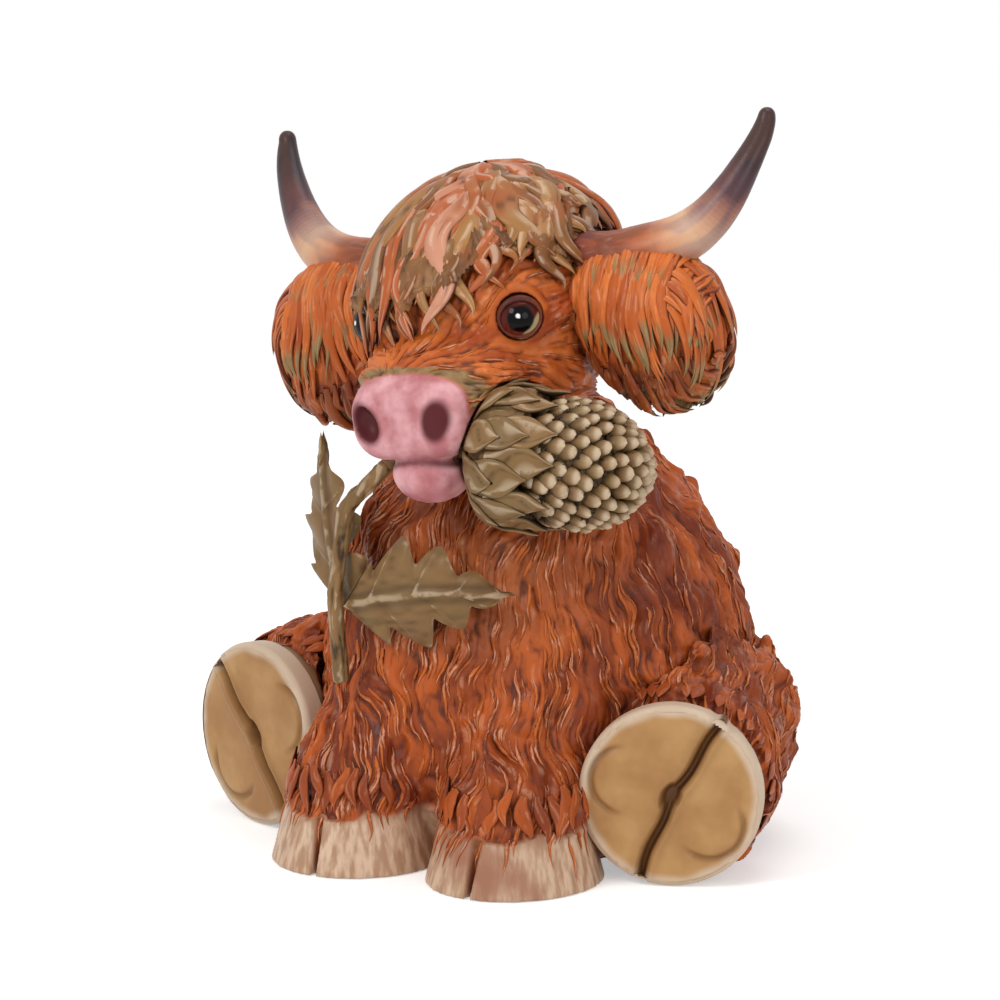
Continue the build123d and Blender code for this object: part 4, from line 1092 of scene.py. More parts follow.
def hind_collar(side):
    """The fringe round a hind hoof, pointing the way the sole looks."""
    for index in range(HIND_TUFTS):
        turn = 2 * math.pi * (index + tuft_dice.uniform(-0.3, 0.3)) / HIND_TUFTS
        ring = 23.1 - 0.5 * t
        around = turn + tuft_dice.uniform(-0.08, 0.08) * t
        deep = -16.5 + (7.5 + tuft_dice.uniform(-1.2, 1.6)) * t
        flat = np.stack([ring * np.cos(around), ring * np.sin(around) + 0.8 * (1 - t), deep], 1)
        line = from_sole(flat, side)
        out = np.array([math.cos(turn), math.sin(turn), 0.0]) @ SOLE_TURN.T * mirror(side)
        size = tuft_dice.uniform(3.0, 4.4)
        if line[:, 2].min() > ABOVE_FLOOR and abs(line[:, 0]).min() > BESIDE_BELLY:
            hang_tuft(line, out, size, 1.6)


for side, _ in SIDES:
    front_collar(side)
    hind_collar(side)
make_piece("hoof_tufts", collars.net(), body_paint, "fur_paint")

# %% [markdown]
# # The forelock
# A thatch of thick wavy locks falls from the crown over the brow. It hides the right eye, parts over the left
# one and stops above the horns. Five rings of locks are laid from the lowest to the highest, and the reach of
# each lock is read from a small table by the way it faces.

# %% Over the skull
# the way a lock faces in degrees, 0 to the front and 90 to the calf's left, and how far down it reaches
HAIR_REACH = np.array([(-180, 1.50), (-130, 1.45), (-108, 1.06), (-92, 0.98), (-78, 1.46), (-60, 1.72),
                       (-20, 1.80), (5, 1.70), (22, 1.46), (36, 1.22), (56, 1.22), (74, 1.48), (90, 1.02),
                       (108, 1.06), (130, 1.45), (180, 1.50)])
# number of locks, where they start, share of the reach, height over the skull and width
HAIR_RINGS = ((56, 0.60, 1.00, 2.8, 5.8), (34, 0.34, 0.98, 4.0, 6.4), (26, 0.16, 0.86, 4.4, 6.2),
              (18, 0.06, 0.66, 5.0, 5.8), (10, 0.02, 0.42, 5.4, 5.2))
SKULL_RADII = np.array([30.0, 31.0, 26.5])
SKULL_UP = np.array([0, 0, 3.0])


def over_skull(polar, around, rise):
    """A point over the skull in the head's frame, and the direction that is outwards there."""
    radii = rise[:, None] + SKULL_RADII
    way = np.stack([np.sin(polar) * np.sin(around), -np.sin(polar) * np.cos(around), np.cos(polar)], -1)
    back = np.stack([0 * polar, 3 * np.cos(polar), 0 * polar], -1)
    return way * radii + SKULL_UP + back, unit(way / radii)


# %% Lay the forelock
dice = np.random.default_rng(12)


def forelock_net():
    """All the locks of the forelock."""
    hair = Tress()
    t = np.linspace(0, 1, 34)
    for count, start, share, rise, width in HAIR_RINGS:
        for index in range(count):
            facing = (index + dice.uniform(-0.35, 0.35)) / count * 360 - 180
            end = np.interp(facing, *HAIR_REACH.T) * share * dice.uniform(0.86, 1.07)
            polar = start * dice.uniform(0.8, 1.1) + (max(end, start + 0.25) - start) * t
            beat = dice.uniform(1.1, 1.9)
            sway = 0.095 * np.sin(2 * np.pi * (beat * t + dice.uniform(0, 1))) * (0.35 + 0.65 * t)
            around = math.radians(facing) + sway / np.maximum(np.sin(polar), 0.40)
            around = around + dice.uniform(-0.10, 0.10) * t
            lift = rise * (1 - 0.45 * t) + 0.8 * np.sin(2 * np.pi * beat * t + dice.uniform(0, 6)) * t
            line, out = over_skull(polar, around, lift + dice.uniform(-0.6, 0.6))
            size = width * dice.uniform(0.65, 1.15)
            warm = 0.26 * math.exp(-((facing - 5) / 42) ** 2) + 0.15 * (abs(facing) > 80)
            hair.add(from_head(line), out @ HEAD_TURN.T, size * taper(t, 0.45, 0.25, 3.2),
                     (1.9 + 0.26 * size) * taper(t, 0.6, 0.3, 3.5), dice.uniform(0, 1),
                     min(dice.uniform(0, 0.72) + warm, 1.0), ridges=dice.integers(3, 6),
                     twist=dice.uniform(0, 6))
    print("forelock:", len(hair.points), "locks")
    return hair.net()


forelock_locks = forelock_net()

# %% [markdown]
# ## Straw paint, and the thatch under the locks
# The locks differ in colour: most are khaki, some orange and a few pale pink. Under them lies the CAD
# forelock, sunk a little, carved and trimmed to the hair line, so that no gap between locks shows the skull.

# %% Straw paint for the forelock
def straw_material():
    """Khaki, orange and pale pink locks, with dark glaze and painted shade between them, dry-brushed on top."""
    material, tree = new_material("straw_paint")
    kind = value_of(tree, "tip")
    color = blend(tree, step_up(tree, value_of(tree, "hue"), 0.15, 0.85), "7d4e28", "ab7a48")
    color = blend(tree, step_up(tree, kind, 0.52, 0.72), color, "b45c2e")
    color = blend(tree, step_up(tree, kind, 0.84, 0.97), color, "cf9276")
    color = wash(tree, mottle(tree, color, "a55a2c", 60.0, 0.50, 0.72), "3a1f16", 0.95)
    varnish(tree, dry_brush(tree, color, "f6e0c6", 0.80, 0.50))
    return material


# %% The thatch
THATCH_SUNK, TRIM_SHARE = 2.2, 0.84


def thatch_net():
    """The CAD forelock, carved and trimmed."""
    cap = skin_over("forelock", 0.6, 1.0)
    cap.soften(10)
    local = to_head(cap.points) - SKULL_UP
    out = unit(local)
    cap.points -= cap.normals() * THATCH_SUNK
    bearing = np.degrees(np.arctan2(local[:, 0], -local[:, 1]))
    tilt = np.arccos(np.clip(out[:, 2], -1, 1))
    carve(cap, (out - [0, 0, 1.2]) @ HEAD_TURN.T, 0.5 * noise(cap.points, 8.0), depth=(0.8, 0.6, 0.4),
          cells=(3.6, 1.9, 1.0))
    cap = cap.without(tilt > TRIM_SHARE * np.interp(bearing, *HAIR_REACH.T))
    # the cap under the locks is painted in shade
    cap.paint |= {"tip": 0.3, "crease": 0.45}
    return cap


straw_paint = straw_material()
make_piece("forelock_cap", thatch_net(), straw_paint, "hair_paint", ["forelock"])
make_piece("forelock_locks", forelock_locks, straw_paint, "hair_paint")

# %% [markdown]
# # The ears' fringes
# Long hair hangs over each ear in seven rows that overlap: from its top down over its front and its back,
# under its rim, and short over the top. Most ends are khaki. More locks fall over the outer end and close it.

# %% Over the ears
# share of the way along the ear, then half depth, half height and drop of its oval there, as shares too
EAR_OVALS = np.array([(0.0, 0.50, 0.40, -0.30), (0.22, 0.86, 0.80, 0.40), (0.50, 1.0, 1.0, 1.0),
                      (0.76, 0.88, 0.86, 1.10), (0.93, 0.56, 0.54, 1.10), (1.0, 0.22, 0.24, 1.10)])
UNDER_RIM = 118
# number of locks, shares of the ear they lie between, start and end of their turn, height and how khaki
FRINGE_ROWS = ((20, 0.06, 0.96, 30, 102, 1.7, 1.0), (22, 0.06, 0.97, UNDER_RIM, 168, -0.2, 0.75),
               (24, 0.06, 0.96, 0, 118, 0.8, 0.2), (24, 0.10, 0.97, -30, -120, 0.6, 0.25),
               (22, 0.10, 0.97, -80, -172, 0.1, 0.9), (28, 0.04, 0.97, -25, 88, 1.3, 1.0),
               (22, 0.06, 0.97, -50, 66, 2.0, 0.9))
# number of locks, least and greatest end of their turn, height and how khaki
END_ROWS = ((20, 120, 168, 0.2, 0.9), (14, 60, 105, 1.2, 0.6))
CURL = 0.045


def over_ear(share, turn, rise, side):
    """A point over an ear in the head's frame: share along it, turned from its top towards its front."""
    deep, tall, drop = [np.interp(share, EAR_OVALS[:, 0], EAR_OVALS[:, k]) for k in (1, 2, 3)]
    out = np.stack([0.25 * (share - 0.4), -np.sin(turn), np.cos(turn)], -1)
    point = np.stack([24 + 38 * share, 1 - (12.5 * deep + rise) * np.sin(turn),
                      -6.5 * drop + (20 * tall + rise) * np.cos(turn)], -1)
    return point * mirror(side), unit(out * mirror(side))


# %% Lay the fringes
def lay_rows(fringe, side):
    """The rows of locks along an ear."""
    t = np.linspace(0, 1, 24)
    for count, low, high, start, end, rise, straw in FRINGE_ROWS:
        for index in range(count):
            share = low + (high - low) * (index + dice.uniform(-0.2, 1.2)) / count
            first = start + dice.uniform(-14, 14)
            turn = np.radians(first + (end * dice.uniform(0.86, 1.10) - first) * t)
            beat = 1.25 * t + 1.4 * share + 0.01 * start + dice.uniform(-0.08, 0.08)
            curl = CURL * np.sin(2 * np.pi * beat)
            wander = share + 0.7 * curl * t + dice.uniform(-0.012, 0.02) * t + 0.10 * (share - 0.45) * t
            puff = rise * (1 - 0.3 * t) + 0.5 * np.sin(np.pi * t) + 0.4 * curl / CURL * t
            line, out = over_ear(np.clip(wander, 0, 1), turn, puff, side)
            size = dice.uniform(1.9, 4.4)
            # the locks under the rim get painted shade, strongest at their roots
            fringe.add(from_head(line), out @ HEAD_TURN.T, size * taper(t, 0.45, 0.4, 3.0),
                       (0.9 + 0.35 * size) * taper(t, 0.5, 0.3, 3.5), dice.uniform(0.05, 0.95),
                       straw * ramp(t, 0.52, 0.88), ridges=dice.integers(2, 4), twist=dice.uniform(0, 6),
                       crease=0.85 * (start == UNDER_RIM) * (1 - t))


def lay_end(fringe, side):
    """The locks that fall over the outer end of an ear, long ones first and short ones over them."""
    t = np.linspace(0, 1, 22)
    for count, least, greatest, puff, straw in END_ROWS:
        for _ in range(count):
            b = dice.uniform(-10.2, 10.2)
            short = math.sqrt(1 - (b / 11.8) ** 2)
            fall = np.radians(-12 + (dice.uniform(least, greatest) + 12) * t)
            reach, tall = 9.3 * short + puff, 16.6 * short + puff
            local = np.stack([52.6 + reach * np.sin(fall), 1 + b + 0.9 * np.sin(5 * t + b) * t,
                              -7.0 + tall * np.cos(fall)], 1)
            out = unit(np.stack([np.sin(fall) / reach, 0.004 * b + 0 * t, np.cos(fall) / tall], 1))
            size = dice.uniform(2.2, 4.2)
            fringe.add(from_head(local * mirror(side)), out * mirror(side) @ HEAD_TURN.T,
                       size * taper(t, 0.4, 0.4, 3.0), (0.8 + 0.30 * size) * taper(t, 0.5, 0.3, 3.5),
                       dice.uniform(0.05, 0.95), straw * ramp(t, 0.6, 0.95), twist=dice.uniform(0, 6))


for side, name in SIDES:
    fringe = Tress()
    lay_rows(fringe, side)
    lay_end(fringe, side)
    make_piece(f"ear_{name}_fringe", fringe.net(), coat_paint, "fur_paint")

# %% [markdown]
# # Horns
# A horn is smooth, so it is carved only a little, along its length. Its paint runs from a mauve and brown
# root through cream to a charcoal tip. How far along the horn a point lies is measured from its centre line.

# %% Horn paint
HORN_TONES = ((0.36, "95563c"), (0.46, "b5826c"), (0.56, "c4a08c"), (0.66, "967068"), (0.76, "593d43"),
              (0.90, "3b2c31"))


def horn_material():
    """Cream horn with a dark tip and a brown root."""
    material, tree = new_material("horn_paint")
    uneven = reckon(tree, "MULTIPLY", speckle(tree, 60.0), 0.16, clamp=False)
    along = reckon(tree, "ADD", value_of(tree, "along"), uneven, clamp=False)
    bands = wire(tree, "ShaderNodeValToRGB", {"Fac": along})
    stops = bands.color_ramp.elements
    stops[0].position, stops[0].color = 0.14, ink("7c3f2c")
    stops[1].position, stops[1].color = 1.0, ink("37292b")
    for place, tone in HORN_TONES:
        stops.new(place).color = ink(tone)
    streak = step_up(tree, value_of(tree, "hue"), 0.25, 0.85)
    color = blend(tree, streak, bands.outputs[0], "f0dcc2", "SOFT_LIGHT")
    varnish(tree, wash(tree, color, "5a3034", 0.45), smooth=0.30, rough=0.46)
    return material


# %% Horns along their centre line
HORN_SHARES = np.array([(0, 0, 0), (0.24, 0.05, -0.02), (0.47, 0.15, 0.03), (0.68, 0.32, 0.17),
                        (0.85, 0.56, 0.46), (0.96, 0.82, 0.78), (1, 1, 1)])
HORN_LINE = HORN_SHARES * [44.0, 20.0, 28.0] + [25.0, 0.0, 13.0]
HORN_MOVED = 1.9
fine = np.stack([np.interp(np.linspace(0, 6, 61), np.arange(7), HORN_LINE[:, k]) for k in range(3)], 1)
ways = unit(np.gradient(fine, axis=0))
lengths = np.concatenate([[0], np.cumsum(np.linalg.norm(np.diff(fine, axis=0), axis=1))])


def horn_net(side, name):
    """A horn, grooved at its root, with how far along it each point lies."""
    horn = skin_over(name, 0.5, 0.8)
    horn.soften(5)
    local = to_head(horn.points) * mirror(side) - [HORN_MOVED * side, 0, 0]
    nearest = np.argmin(((local[:, None] - fine[None]) ** 2).sum(2), 1)
    along = lengths[nearest] / lengths[-1]
    root = 1 - ramp(along, 0.16, 0.30)
    carve(horn, (ways[nearest] * mirror(side)) @ HEAD_TURN.T, 0.9 * root * noise(horn.points, 5.0),
          1 - (0.10 + 0.75 * root), (0.35, 0.4, 0.35), cells=(3.2, 1.8, 1.0))
    relief = np.where(root > 0.4, horn.paint["relief"], 0.6)
    # painted shade at the root, where the horn meets the head
    horn.paint |= {"relief": relief, "along": along, "crease": 0.7 * (1 - ramp(along, 0.0, 0.12))}
    return horn


horn_paint = horn_material()
for side, name in SIDES:
    name = "horn_" + name
    make_piece(name + "_shaped", horn_net(side, name), horn_paint, "horn_paint", [name])

# %% [markdown]
# # Eyes
# A glass-like dome with everything painted under a thick gloss: a black pupil, a burgundy iris that is lighter below,
# a pale crescent at the outer corner, a dark rim and a small painted highlight, a white glint. Lids lie round it.

# %% Eye paint
def eye_material():
    """Painted pupil and iris, and a painted white highlight, under a deep gloss."""
    material, tree = new_material("eye_paint")
    out = value_of(tree, "along")
    color = blend(tree, step_up(tree, value_of(tree, "hue"), -0.6, 0.9), "7a2f22", "2a0d0e")
    color = over(tree, "tan", mottle(tree, color, "54201a", 700.0, 0.4, 0.7), "b9a77c")
    color = blend(tree, step_up(tree, out, 0.52, 0.40), color, "070505")
    color = blend(tree, step_up(tree, out, 0.86, 1.0), color, "230d0c")
    # painted highlight: a white glint on the eye
    color = over(tree, "tip", color, "ffffff")
    varnish(tree, color, smooth=0.10, rough=0.16, bump=0.0, coat=0.0, coat_rough=0.02, specular=0.12)
    return material


# %% Domes and lids
EYE_TURN = turn_about("Z", 38.0) @ turn_about("X", 90.0)
EYE_RADIUS, LID_RADIUS = 5.45, 5.7
EYE_RINGS, EYE_SPOKES, LID_SPOKES = 34, 56, 60
JOIN = 3


def from_eye(points, side):
    """Points drawn round the middle of an eye, which looks along Z, carried into the figure."""
    return from_head(((points @ EYE_TURN.T + EYE_AT) * mirror(side)).reshape(-1, 3))


def eye_net(side):
    """A dome with its pole looking out of the socket."""
    polar = np.linspace(0.001, 1.75, EYE_RINGS)[:, None]
    around = np.linspace(0, 2 * np.pi, EYE_SPOKES, endpoint=False)[None]
    local = np.stack([np.sin(polar) * np.cos(around), np.sin(polar) * np.sin(around),
                      np.cos(polar) + 0 * around], -1) * EYE_RADIUS
    x, y = local[..., 0], local[..., 1]
    net = disc_net(from_eye(local, side), x.shape, side)
    white = ramp(0.75 * x - 0.70 * y, 2.5, 3.1) * (np.hypot(x, y) > 2.9)
    # painted highlight: a small white glint on the dome
    glint = 1 - ramp(np.hypot(x + 0.5, y - 0.9), 0.42, 0.62)
    along = np.broadcast_to(polar / 1.35, x.shape)
    painted = {"along": along, "hue": y / EYE_RADIUS, "tan": white, "tip": glint}
    net.paint = {title: value.ravel() for title, value in painted.items()}
    return net


def lid_net(side):
    """The fleshy rim round an eye, thicker above. Its ends overlap."""
    turn = np.linspace(0, 2 * np.pi, LID_SPOKES, endpoint=False)
    turn = np.concatenate([turn, turn[:JOIN]])
    x, y = 5.0 * np.cos(turn), 4.5 * np.sin(turn) + 0.2
    ring = np.stack([x, y, np.sqrt(np.maximum(LID_RADIUS ** 2 - x ** 2 - y ** 2, 0.2))], 1)
    out = unit((ring @ EYE_TURN.T * mirror(side)) @ HEAD_TURN.T)
    thick = 0.9 + 0.8 * np.clip(np.sin(turn), 0, 1)
    lids = Tress()
    # painted shade round the eye darkens the lids, and their low relief takes the glaze
    lids.add(from_eye(ring, side), out, thick, thick, 0.15, ridges=2, across=10, crease=0.95)
    lids.paint["relief"][-1] = 0.45 * lids.paint["relief"][-1]
    return lids.net()


eye_paint = eye_material()
for side, name in SIDES:
    make_piece(f"eye_{name}_glazed", eye_net(side), eye_paint, "eye_gloss", ["eye_" + name])
    make_piece(f"eye_{name}_lids", lid_net(side), coat_paint, "fur_paint")

# %% [markdown]
# # The thistle
# The flower is a barrel of small buds, set at the golden angle so that no two rows line up, as on a real
# flower head. Its cup is shingled with pointed bracts, each grooved along its length.

# %% Thistle paint
def thistle_material():
    """Antique gold and khaki, with dark glaze in the grooves, painted shade under the buds and bracts, and cream on
    the tips.
    """
    material, tree = new_material("thistle_paint")
    color = over(tree, "hue", mottle(tree, "745432", "7b623c", 75.0, 0.35, 0.68), "8e6c44")
    color = over(tree, "tip", wash(tree, color, "2e2110", 0.9), "cdb494")
    varnish(tree, dry_brush(tree, color, "e4cfb2", 0.85, 0.52), smooth=0.42, rough=0.66, coat=0.12)
    return material


thistle_paint = thistle_material()

# %% The thistle's own frame
THISTLE_AT = from_head([10.0, -34.0, -26.0])
THISTLE_TURN = turn_about("Z", 12.0) @ turn_about("Y", 93.0)
FLOWER_RADIUS, FLOWER_FROM, FLOWER_LENGTH = 15.1, 17.2, 25.1
BARREL_SHARE = 0.40


def spun(ways, turn):
    """Directions drawn on the flower, whose Z runs along it, turned about that and into the figure."""
    return ways @ turn_about("Z", math.degrees(turn)).T @ THISTLE_TURN.T


def from_thistle(points, turn):
    """Points drawn on the flower, turned about it and carried into the figure."""
    return spun(points, turn) + THISTLE_AT


def flower_radius(share):
    """The radius of the flower along its length: a barrel closed by a dome."""
    if share < BARREL_SHARE:
        return FLOWER_RADIUS * (0.80 + 0.20 * math.sqrt(1 - (1 - share / BARREL_SHARE) ** 2))
    return FLOWER_RADIUS * math.sqrt(1 - ((share - BARREL_SHARE) / (1 - BARREL_SHARE)) ** 2 * 0.98)


# %% Buds of the flower
BUDS, BUD_LENGTH, BUD_WIDTH, BUD_SPOKES = 158, 6.8, 4.7, 12
HEART_SUNK = 3.0


def flower_buds():
    """The buds at the golden angle, with an equal share of the surface for each."""
    samples = np.linspace(0.03, 0.985, 500)
    radii = np.array([flower_radius(s) for s in samples])
    area = np.cumsum(np.hypot(np.gradient(samples) * FLOWER_LENGTH, np.gradient(radii)) * radii)
    t = np.linspace(0, 1, 11)
    round_end = (0.60 + 0.40 * ramp(t, 0, 0.45)) * np.clip(1 - t ** 4, 0.0004, 1) ** 0.55
    buds = Tress()
    for index in range(BUDS):
        share = float(np.interp((index + 0.5) / BUDS * area[-1], area, samples))
        turn = math.pi * (3 - math.sqrt(5)) * index + dice.uniform(-0.06, 0.06)
        lean = math.radians(50 + 34 * share ** 3 + dice.uniform(-6, 6))
        root = np.array([flower_radius(share) - 3.5, 0, FLOWER_FROM + FLOWER_LENGTH * share - 2.6])
        way, bend = [np.array([math.cos(a), 0, math.sin(a)]) for a in (lean, lean + 1.2)]
        line = root + way * BUD_LENGTH * t[:, None] + bend * 0.9 * t[:, None] ** 2
        up = np.tile([-way[2], 0, way[0]], (len(t), 1))
        size = BUD_WIDTH * dice.uniform(0.86, 1.10)
        # painted shade at the foot of each bud, between the buds
        buds.add(from_thistle(line, turn), spun(up, turn), size * round_end, size * 0.78 * round_end,
                 dice.uniform(0, 0.7), 0.85 * ramp(t, 0.70, 1.0), ridges=1, across=BUD_SPOKES,
                 crease=0.95 * (1 - ramp(t, 0.40, 0.72)))
        buds.paint["relief"][-1] = np.repeat(0.25 + 0.75 * ramp(t, 0.50, 0.96), BUD_SPOKES)
    return buds.net()


heart = skin_over("thistle_flower", 0.8)
heart.points = heart.points - heart.normals() * HEART_SUNK
# the heart under the buds is painted in shade
heart.paint = {"relief": 0.15, "crease": 0.8}
make_piece("thistle_flower_heart", heart, thistle_paint, "thistle_paint", ["thistle_flower"])
make_piece("thistle_flower_buds", flower_buds(), thistle_paint, "thistle_paint")

# %% Bracts of the cup
# how far along the thistle, and the radius of the cup there
CUP = np.array([(0, 2.1), (2.0, 8.0), (5.1, 13.5), (9.0, 15.9), (12.2, 16.5), (15.0, 16.2), (17.0, 15.8),
                (24.0, 15.4)])
# number of bracts, where they start and end, height over the cup and width
BRACT_LAYERS = ((11, 9.0, 24.5, 0.2, 8.2), (10, 4.5, 18.5, 0.7, 9.0), (9, 0.8, 12.0, 1.2, 8.6))


def cup_bracts():
    """Three layers of bracts, each layer half a step round from the last."""
    bracts = Tress()
    t = np.linspace(0, 1, 18)
    for layer, (count, start, end, lift, width) in enumerate(BRACT_LAYERS):
        for index in range(count):
            turn = 2 * math.pi * (index + 0.5 * layer + dice.uniform(-0.10, 0.10)) / count
            up_to = start + (end * dice.uniform(0.93, 1.07) - start) * t
            radius = np.interp(up_to, CUP[:, 0], CUP[:, 1]) + lift * (0.4 + 0.6 * t)
            radius = radius + 0.9 * dice.uniform(0.3, 1.3) * ramp(t, 0.62, 1.0)
            line = np.stack([radius, 0.5 * np.sin(3 * t + index), up_to], 1)
            rise = np.gradient(line, axis=0)
            up = np.stack([rise[:, 2], 0 * t, -rise[:, 0]], 1)
            wide = width * dice.uniform(0.9, 1.1) * (0.55 + 0.45 * ramp(t, 0, 0.4))
            wide = wide * np.clip(1 - ramp(t, 0.5, 1.02), 0.02, 1) ** 0.8
            bracts.add(from_thistle(line, turn), spun(up, turn), wide, np.minimum(1.7, 0.5 + wide * 0.3),
                       dice.uniform(0.1, 0.9), ridges=6, across=20, twist=dice.uniform(0, 6))
    return bracts.net()


def cup_net():
    """The cup under the bracts, sunk a little and grooved along its length."""
    cup = skin_over("thistle_calyx", 0.5, 0.8)
    cup.soften(3)
    fan = (cup.points - THISTLE_AT) @ THISTLE_TURN
    fan[:, 2] = 8
    carve(cup, fan @ THISTLE_TURN.T, depth=(0.1, 0.3, 0.35), cells=(3.0, 1.7, 0.95))
    cup.points -= cup.normals() * 0.6
    # the cup under the bracts gets a little painted shade
    cup.paint["crease"] = 0.25
    return cup


make_piece("thistle_cup", cup_net(), thistle_paint, "thistle_paint", ["thistle_calyx"])
make_piece("thistle_bracts", cup_bracts(), thistle_paint, "thistle_paint")

# %% [markdown]
# ## Leaves and stem
# The two leaves are long, lobed and deeply veined. Each is drawn flat, then laid on the round of the chest,
# its edge rolled and its veins raised. It has a front and a back, so it is solid from all sides.

# %% A thistle leaf
LEAF_AXIS = np.array([-2.0, 36.0]) + SHIFT[:2]
LEAF_ROWS, LEAF_COLUMNS = 90, 37
LEAF_THICK = 0.75


def leaf_net(root, slope, length, width, radius, lobes, roll, seed):
    """A lobed leaf on a round of the given radius; root is its place across and up."""
    u = np.linspace(0, 1, LEAF_ROWS)[:, None]
    v = np.linspace(-1, 1, LEAF_COLUMNS)[None]
    swell = np.sin(np.pi * np.clip(u, 0, 1) ** 0.75) ** 0.55 * (1 - u ** 3) + 0.10 * (1 - u)
    beat = u * lobes + 0.10 * np.sin(7 * u + seed) + 0.22 * (v > 0)
    scallop = 0.50 + 0.50 * np.abs(np.sin(np.pi * beat)) ** 0.8
    half = width / 2 * swell * scallop
    lean = 0.22 * length * (scallop - 0.35) * np.abs(v) ** 1.5 * (1 - u)
    along = length * u + lean
    across = half * v + 2.2 * np.sin(np.pi * u * 1.1)
    c, s = math.cos(math.radians(slope)), math.sin(math.radians(slope))
    x = root[0] + SHIFT[0] + along * c - across * s
    z = root[1] + along * s + across * c
    forked = beat - 0.35 * np.abs(v) ** 0.8
    vein = np.exp(-(np.abs(np.sin(np.pi * forked)) / 0.16) ** 2) * (np.abs(v) < 0.9) * (1 - 0.5 * np.abs(v))
    rib = np.exp(-(v * half / 1.0) ** 2)
    grid = np.stack(np.broadcast_arrays(along * 0.35, across, 0 * u + seed * 9), -1)
    fine = noise(grid.reshape(-1, 3), 1.1).reshape(x.shape)
    fold = 1.3 * np.cos(2 * np.pi * forked) * np.abs(v) ** 1.3 * swell
    front = roll * (np.abs(v) ** 2.2) * swell - fold + 0.9 * rib + 0.45 * vein + 0.16 * fine
    edge = LEAF_THICK * (np.clip(1 - np.abs(v) ** 6, 0, 1) * np.clip(12 * (1 - u), 0, 1))
    skins = []
    for out in (radius + front + edge, radius + front + (-edge - 0.9 * rib)):
        away = np.clip((x - LEAF_AXIS[0]) / out, -0.97, 0.97)
        y = LEAF_AXIS[1] - out * np.sqrt(1 - away ** 2)
        skins.append(np.stack([x, y, z], -1).reshape(-1, 3))
    index = np.arange(x.size).reshape(x.shape)[:-1, :-1]
    quads = np.stack([index, index + 1, index + 1 + LEAF_COLUMNS, index + LEAF_COLUMNS], -1).reshape(-1, 4)
    loops = np.concatenate([quads, quads[:, ::-1] + x.size])
    net = Net(np.concatenate(skins), None, loops.ravel(), np.full(len(loops), 4))
    relief = 0.50 + 0.45 * vein + 0.5 * rib + 0.22 * fine + 0.25 * ramp(np.abs(v), 0.84, 0.96)
    shade = 0.55 * np.exp(-(np.abs(v * half) - 1.6) ** 2 / 1.2) * (1 - rib) + 0 * u
    painted = {"relief": np.clip(relief, 0, 1), "hue": 0.5 + 0.4 * fine, "crease": shade}
    net.paint = {title: np.tile(value.ravel(), 2) for title, value in painted.items()}
    return net


front_leaf = leaf_net((-18.5, 64.0), 10.0, 44.0, 27.0, 46.6, 4.0, -2.0, 1.0)
rear_leaf = leaf_net((-21.0, 62.0), 104.0, 42.0, 27.0, 44.6, 3.6, 1.0, 2.0)
make_piece("leaf_front_veined", front_leaf, thistle_paint, "thistle_paint", ["leaf_front"])
make_piece("leaf_rear_veined", rear_leaf, thistle_paint, "thistle_paint", ["leaf_rear"])

# %% The stem
stem = skin_over("thistle_stem", 0.4, 0.6)
stem.soften(3)
crossing = ramp(stem.points[:, 2], HEAD_AT[2] - 32, HEAD_AT[2] - 28)[:, None]
lengthwise = DOWN * (1 - crossing) + np.array([1.0, 0.1, 0.1]) * crossing
carve(stem, lengthwise, depth=(0.15, 0.30, 0.25), cells=(2.4, 1.5, 0.9))
make_piece("stem_grooved", stem, thistle_paint, "thistle_paint", ["thistle_stem"])

# %% [markdown]
# ## What is hidden
# The felt under the rump, the stopper above it, the steel dowels and the wire keep the shapes that the frame
# gives them, and only take their materials.

# %% Felt, stopper and steel
def plain_material(name, dark, pale, scale, rough, metal=0.0, raised=0.3):
    """One stuff with a mottled colour and a fine raised grain."""
    material, tree = new_material(name)
    spots = speckle(tree, scale, 5.0)
    grainy = wire(tree, "ShaderNodeBump", {"Strength": raised, "Distance": 0.0002, "Height": spots})
    shader = wire(tree, "ShaderNodeBsdfPrincipled", {
        "Base Color": blend(tree, step_up(tree, spots, 0.35, 0.65), dark, pale), "Roughness": rough,
        "Metallic": metal, "Normal": grainy.outputs[0]})
    wire(tree, "ShaderNodeOutputMaterial", {"Surface": shader.outputs[0]})
    return material


felt_green = plain_material("felt_green", "27402f", "3d5c46", 1500.0, 0.95, raised=0.8)
stopper_grey = plain_material("stopper_grey", "3a3a3c", "4a4a4c", 300.0, 0.60)
bright_steel = plain_material("bright_steel", "8d9094", "b4b7ba", 900.0, 0.32, metal=1.0, raised=0.1)
for node, stuff in (("base_felt", felt_green), ("base_plug", stopper_grey), ("stem_wire", bright_steel),
                    ("horn_pin_left", bright_steel), ("horn_pin_right", bright_steel)):
    mesh = frame["nodes"][node].data
    mesh.materials.clear()
    mesh.materials.append(stuff)
print("carried over:", [node for node, piece in frame["nodes"].items() if not piece.hide_render])

# %% [markdown]
# # Floor, light and camera
# The photograph was taken on white, under large soft lamps, with a long lens. The floor and the world are
# white to the camera and in reflections by their colour alone, and dimmer as a light. The lamps are set so
# that a colour on the calf comes out about as it was mixed.

# %% White floor
WHITE = (1, 1, 1, 1)
AS_LIGHT = 0.42
FLOOR_GAP = 0.0002


def shows_white(tree):
    """1 for the rays that show the background: to the camera, off a gloss or through glass."""
    rays = wire(tree, "ShaderNodeLightPath").outputs
    shown = reckon(tree, "MAXIMUM", rays["Is Camera Ray"], rays["Is Glossy Ray"])
    return reckon(tree, "MAXIMUM", shown, rays["Is Transmission Ray"])


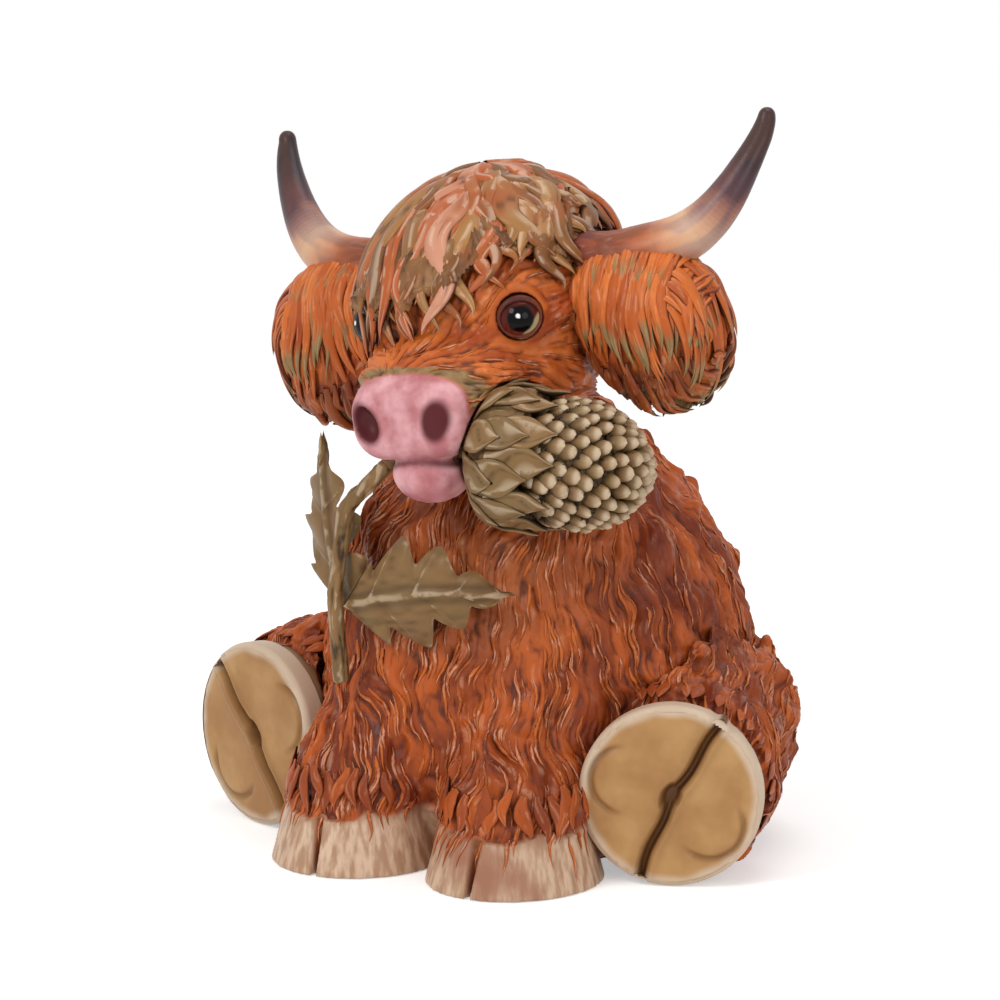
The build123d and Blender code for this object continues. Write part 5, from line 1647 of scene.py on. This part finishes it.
def white_floor():
    """A wide plain floor that keeps a soft shadow and ends in the white of the world."""
    bpy.ops.mesh.primitive_plane_add(size=6.0, location=(0, 0, -FLOOR_GAP))
    floor = bpy.context.object
    floor.name = "floor"
    material, tree = new_material("floor_white")
    matte = wire(tree, "ShaderNodeBsdfDiffuse", {"Color": (0.92, 0.92, 0.92, 1)})
    glow = wire(tree, "ShaderNodeEmission", {"Color": WHITE, "Strength": AS_LIGHT})
    both = wire(tree, "ShaderNodeAddShader", {0: matte.outputs[0], 1: glow.outputs[0]})
    spot = wire(tree, "ShaderNodeTexCoord").outputs["Object"]
    away = wire(tree, "ShaderNodeVectorMath", {0: spot}, operation="LENGTH").outputs["Value"]
    white = wire(tree, "ShaderNodeEmission", {"Color": WHITE, "Strength": 1.0})
    faded = wire(tree, "ShaderNodeMixShader", {
        0: step_up(tree, away, 0.22, 0.60), 1: both.outputs[0], 2: white.outputs[0]})
    shown = wire(tree, "ShaderNodeMixShader", {
        0: shows_white(tree), 1: matte.outputs[0], 2: faded.outputs[0]})
    wire(tree, "ShaderNodeOutputMaterial", {"Surface": shown.outputs[0]})
    floor.data.materials.append(material)
    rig.stage(floor)


white_floor()

# %% World and lamps
world = bpy.data.worlds.new("studio")
bpy.context.scene.world = world
world.use_nodes = True
sky = world.node_tree
sky.nodes.clear()
level = wire(sky, "ShaderNodeMapRange", {"Value": shows_white(sky), "To Min": AS_LIGHT, "To Max": 1.0})
light = wire(sky, "ShaderNodeBackground", {"Color": WHITE, "Strength": level.outputs[0]})
wire(sky, "ShaderNodeOutputWorld", {"Surface": light.outputs[0]})


def lamp(name, place, size, power, aim=(0.0, 0.0, 0.08)):
    """A large soft lamp that looks at the calf."""
    light = bpy.data.lights.new(name, "AREA")
    light.shape, light.size, light.energy = "DISK", size, power
    body = bpy.data.objects.new(name, light)
    bpy.context.scene.collection.objects.link(body)
    body.location = place
    toward = [a - p for a, p in zip(aim, place)]
    body.rotation_euler = Vector(toward).to_track_quat("-Z", "Y").to_euler()


lamp("key", (-0.25, -0.85, 0.75), 0.45, 4.6)
lamp("fill", (0.95, -0.55, 0.45), 0.60, 2.6)
lamp("top", (0.10, 0.15, 1.00), 0.60, 2.6)

# %% Camera
AZIMUTH, ELEVATION, FAR, WIDE = math.radians(30.0), math.radians(14.5), 6.0, 0.2381
SENSOR = 36.0
aim = np.array([-14.35, 14.21, 75.45]) * MM
back = np.array([math.sin(AZIMUTH) * math.cos(ELEVATION), -math.cos(AZIMUTH) * math.cos(ELEVATION),
                 math.sin(ELEVATION)])
eye = bpy.data.cameras.new("camera")
eye.sensor_width = SENSOR
eye.lens = SENSOR * FAR / WIDE
eye.clip_start, eye.clip_end = 0.1, 20.0
camera = bpy.data.objects.new("camera", eye)
bpy.context.scene.collection.objects.link(camera)
camera.location = tuple(aim + back * FAR)
camera.rotation_euler = Vector(tuple(-back)).to_track_quat("-Z", "Y").to_euler()
bpy.context.scene.camera = camera
bpy.context.scene.view_settings.view_transform = "Standard"

# %% Keep the two boxes and finish
with open("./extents.json", "w") as file:
    json.dump({"cad": [list(corner) for corner in cad_box], "look": [list(corner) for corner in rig.bounds()]}, file)
print(open("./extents.json").read())
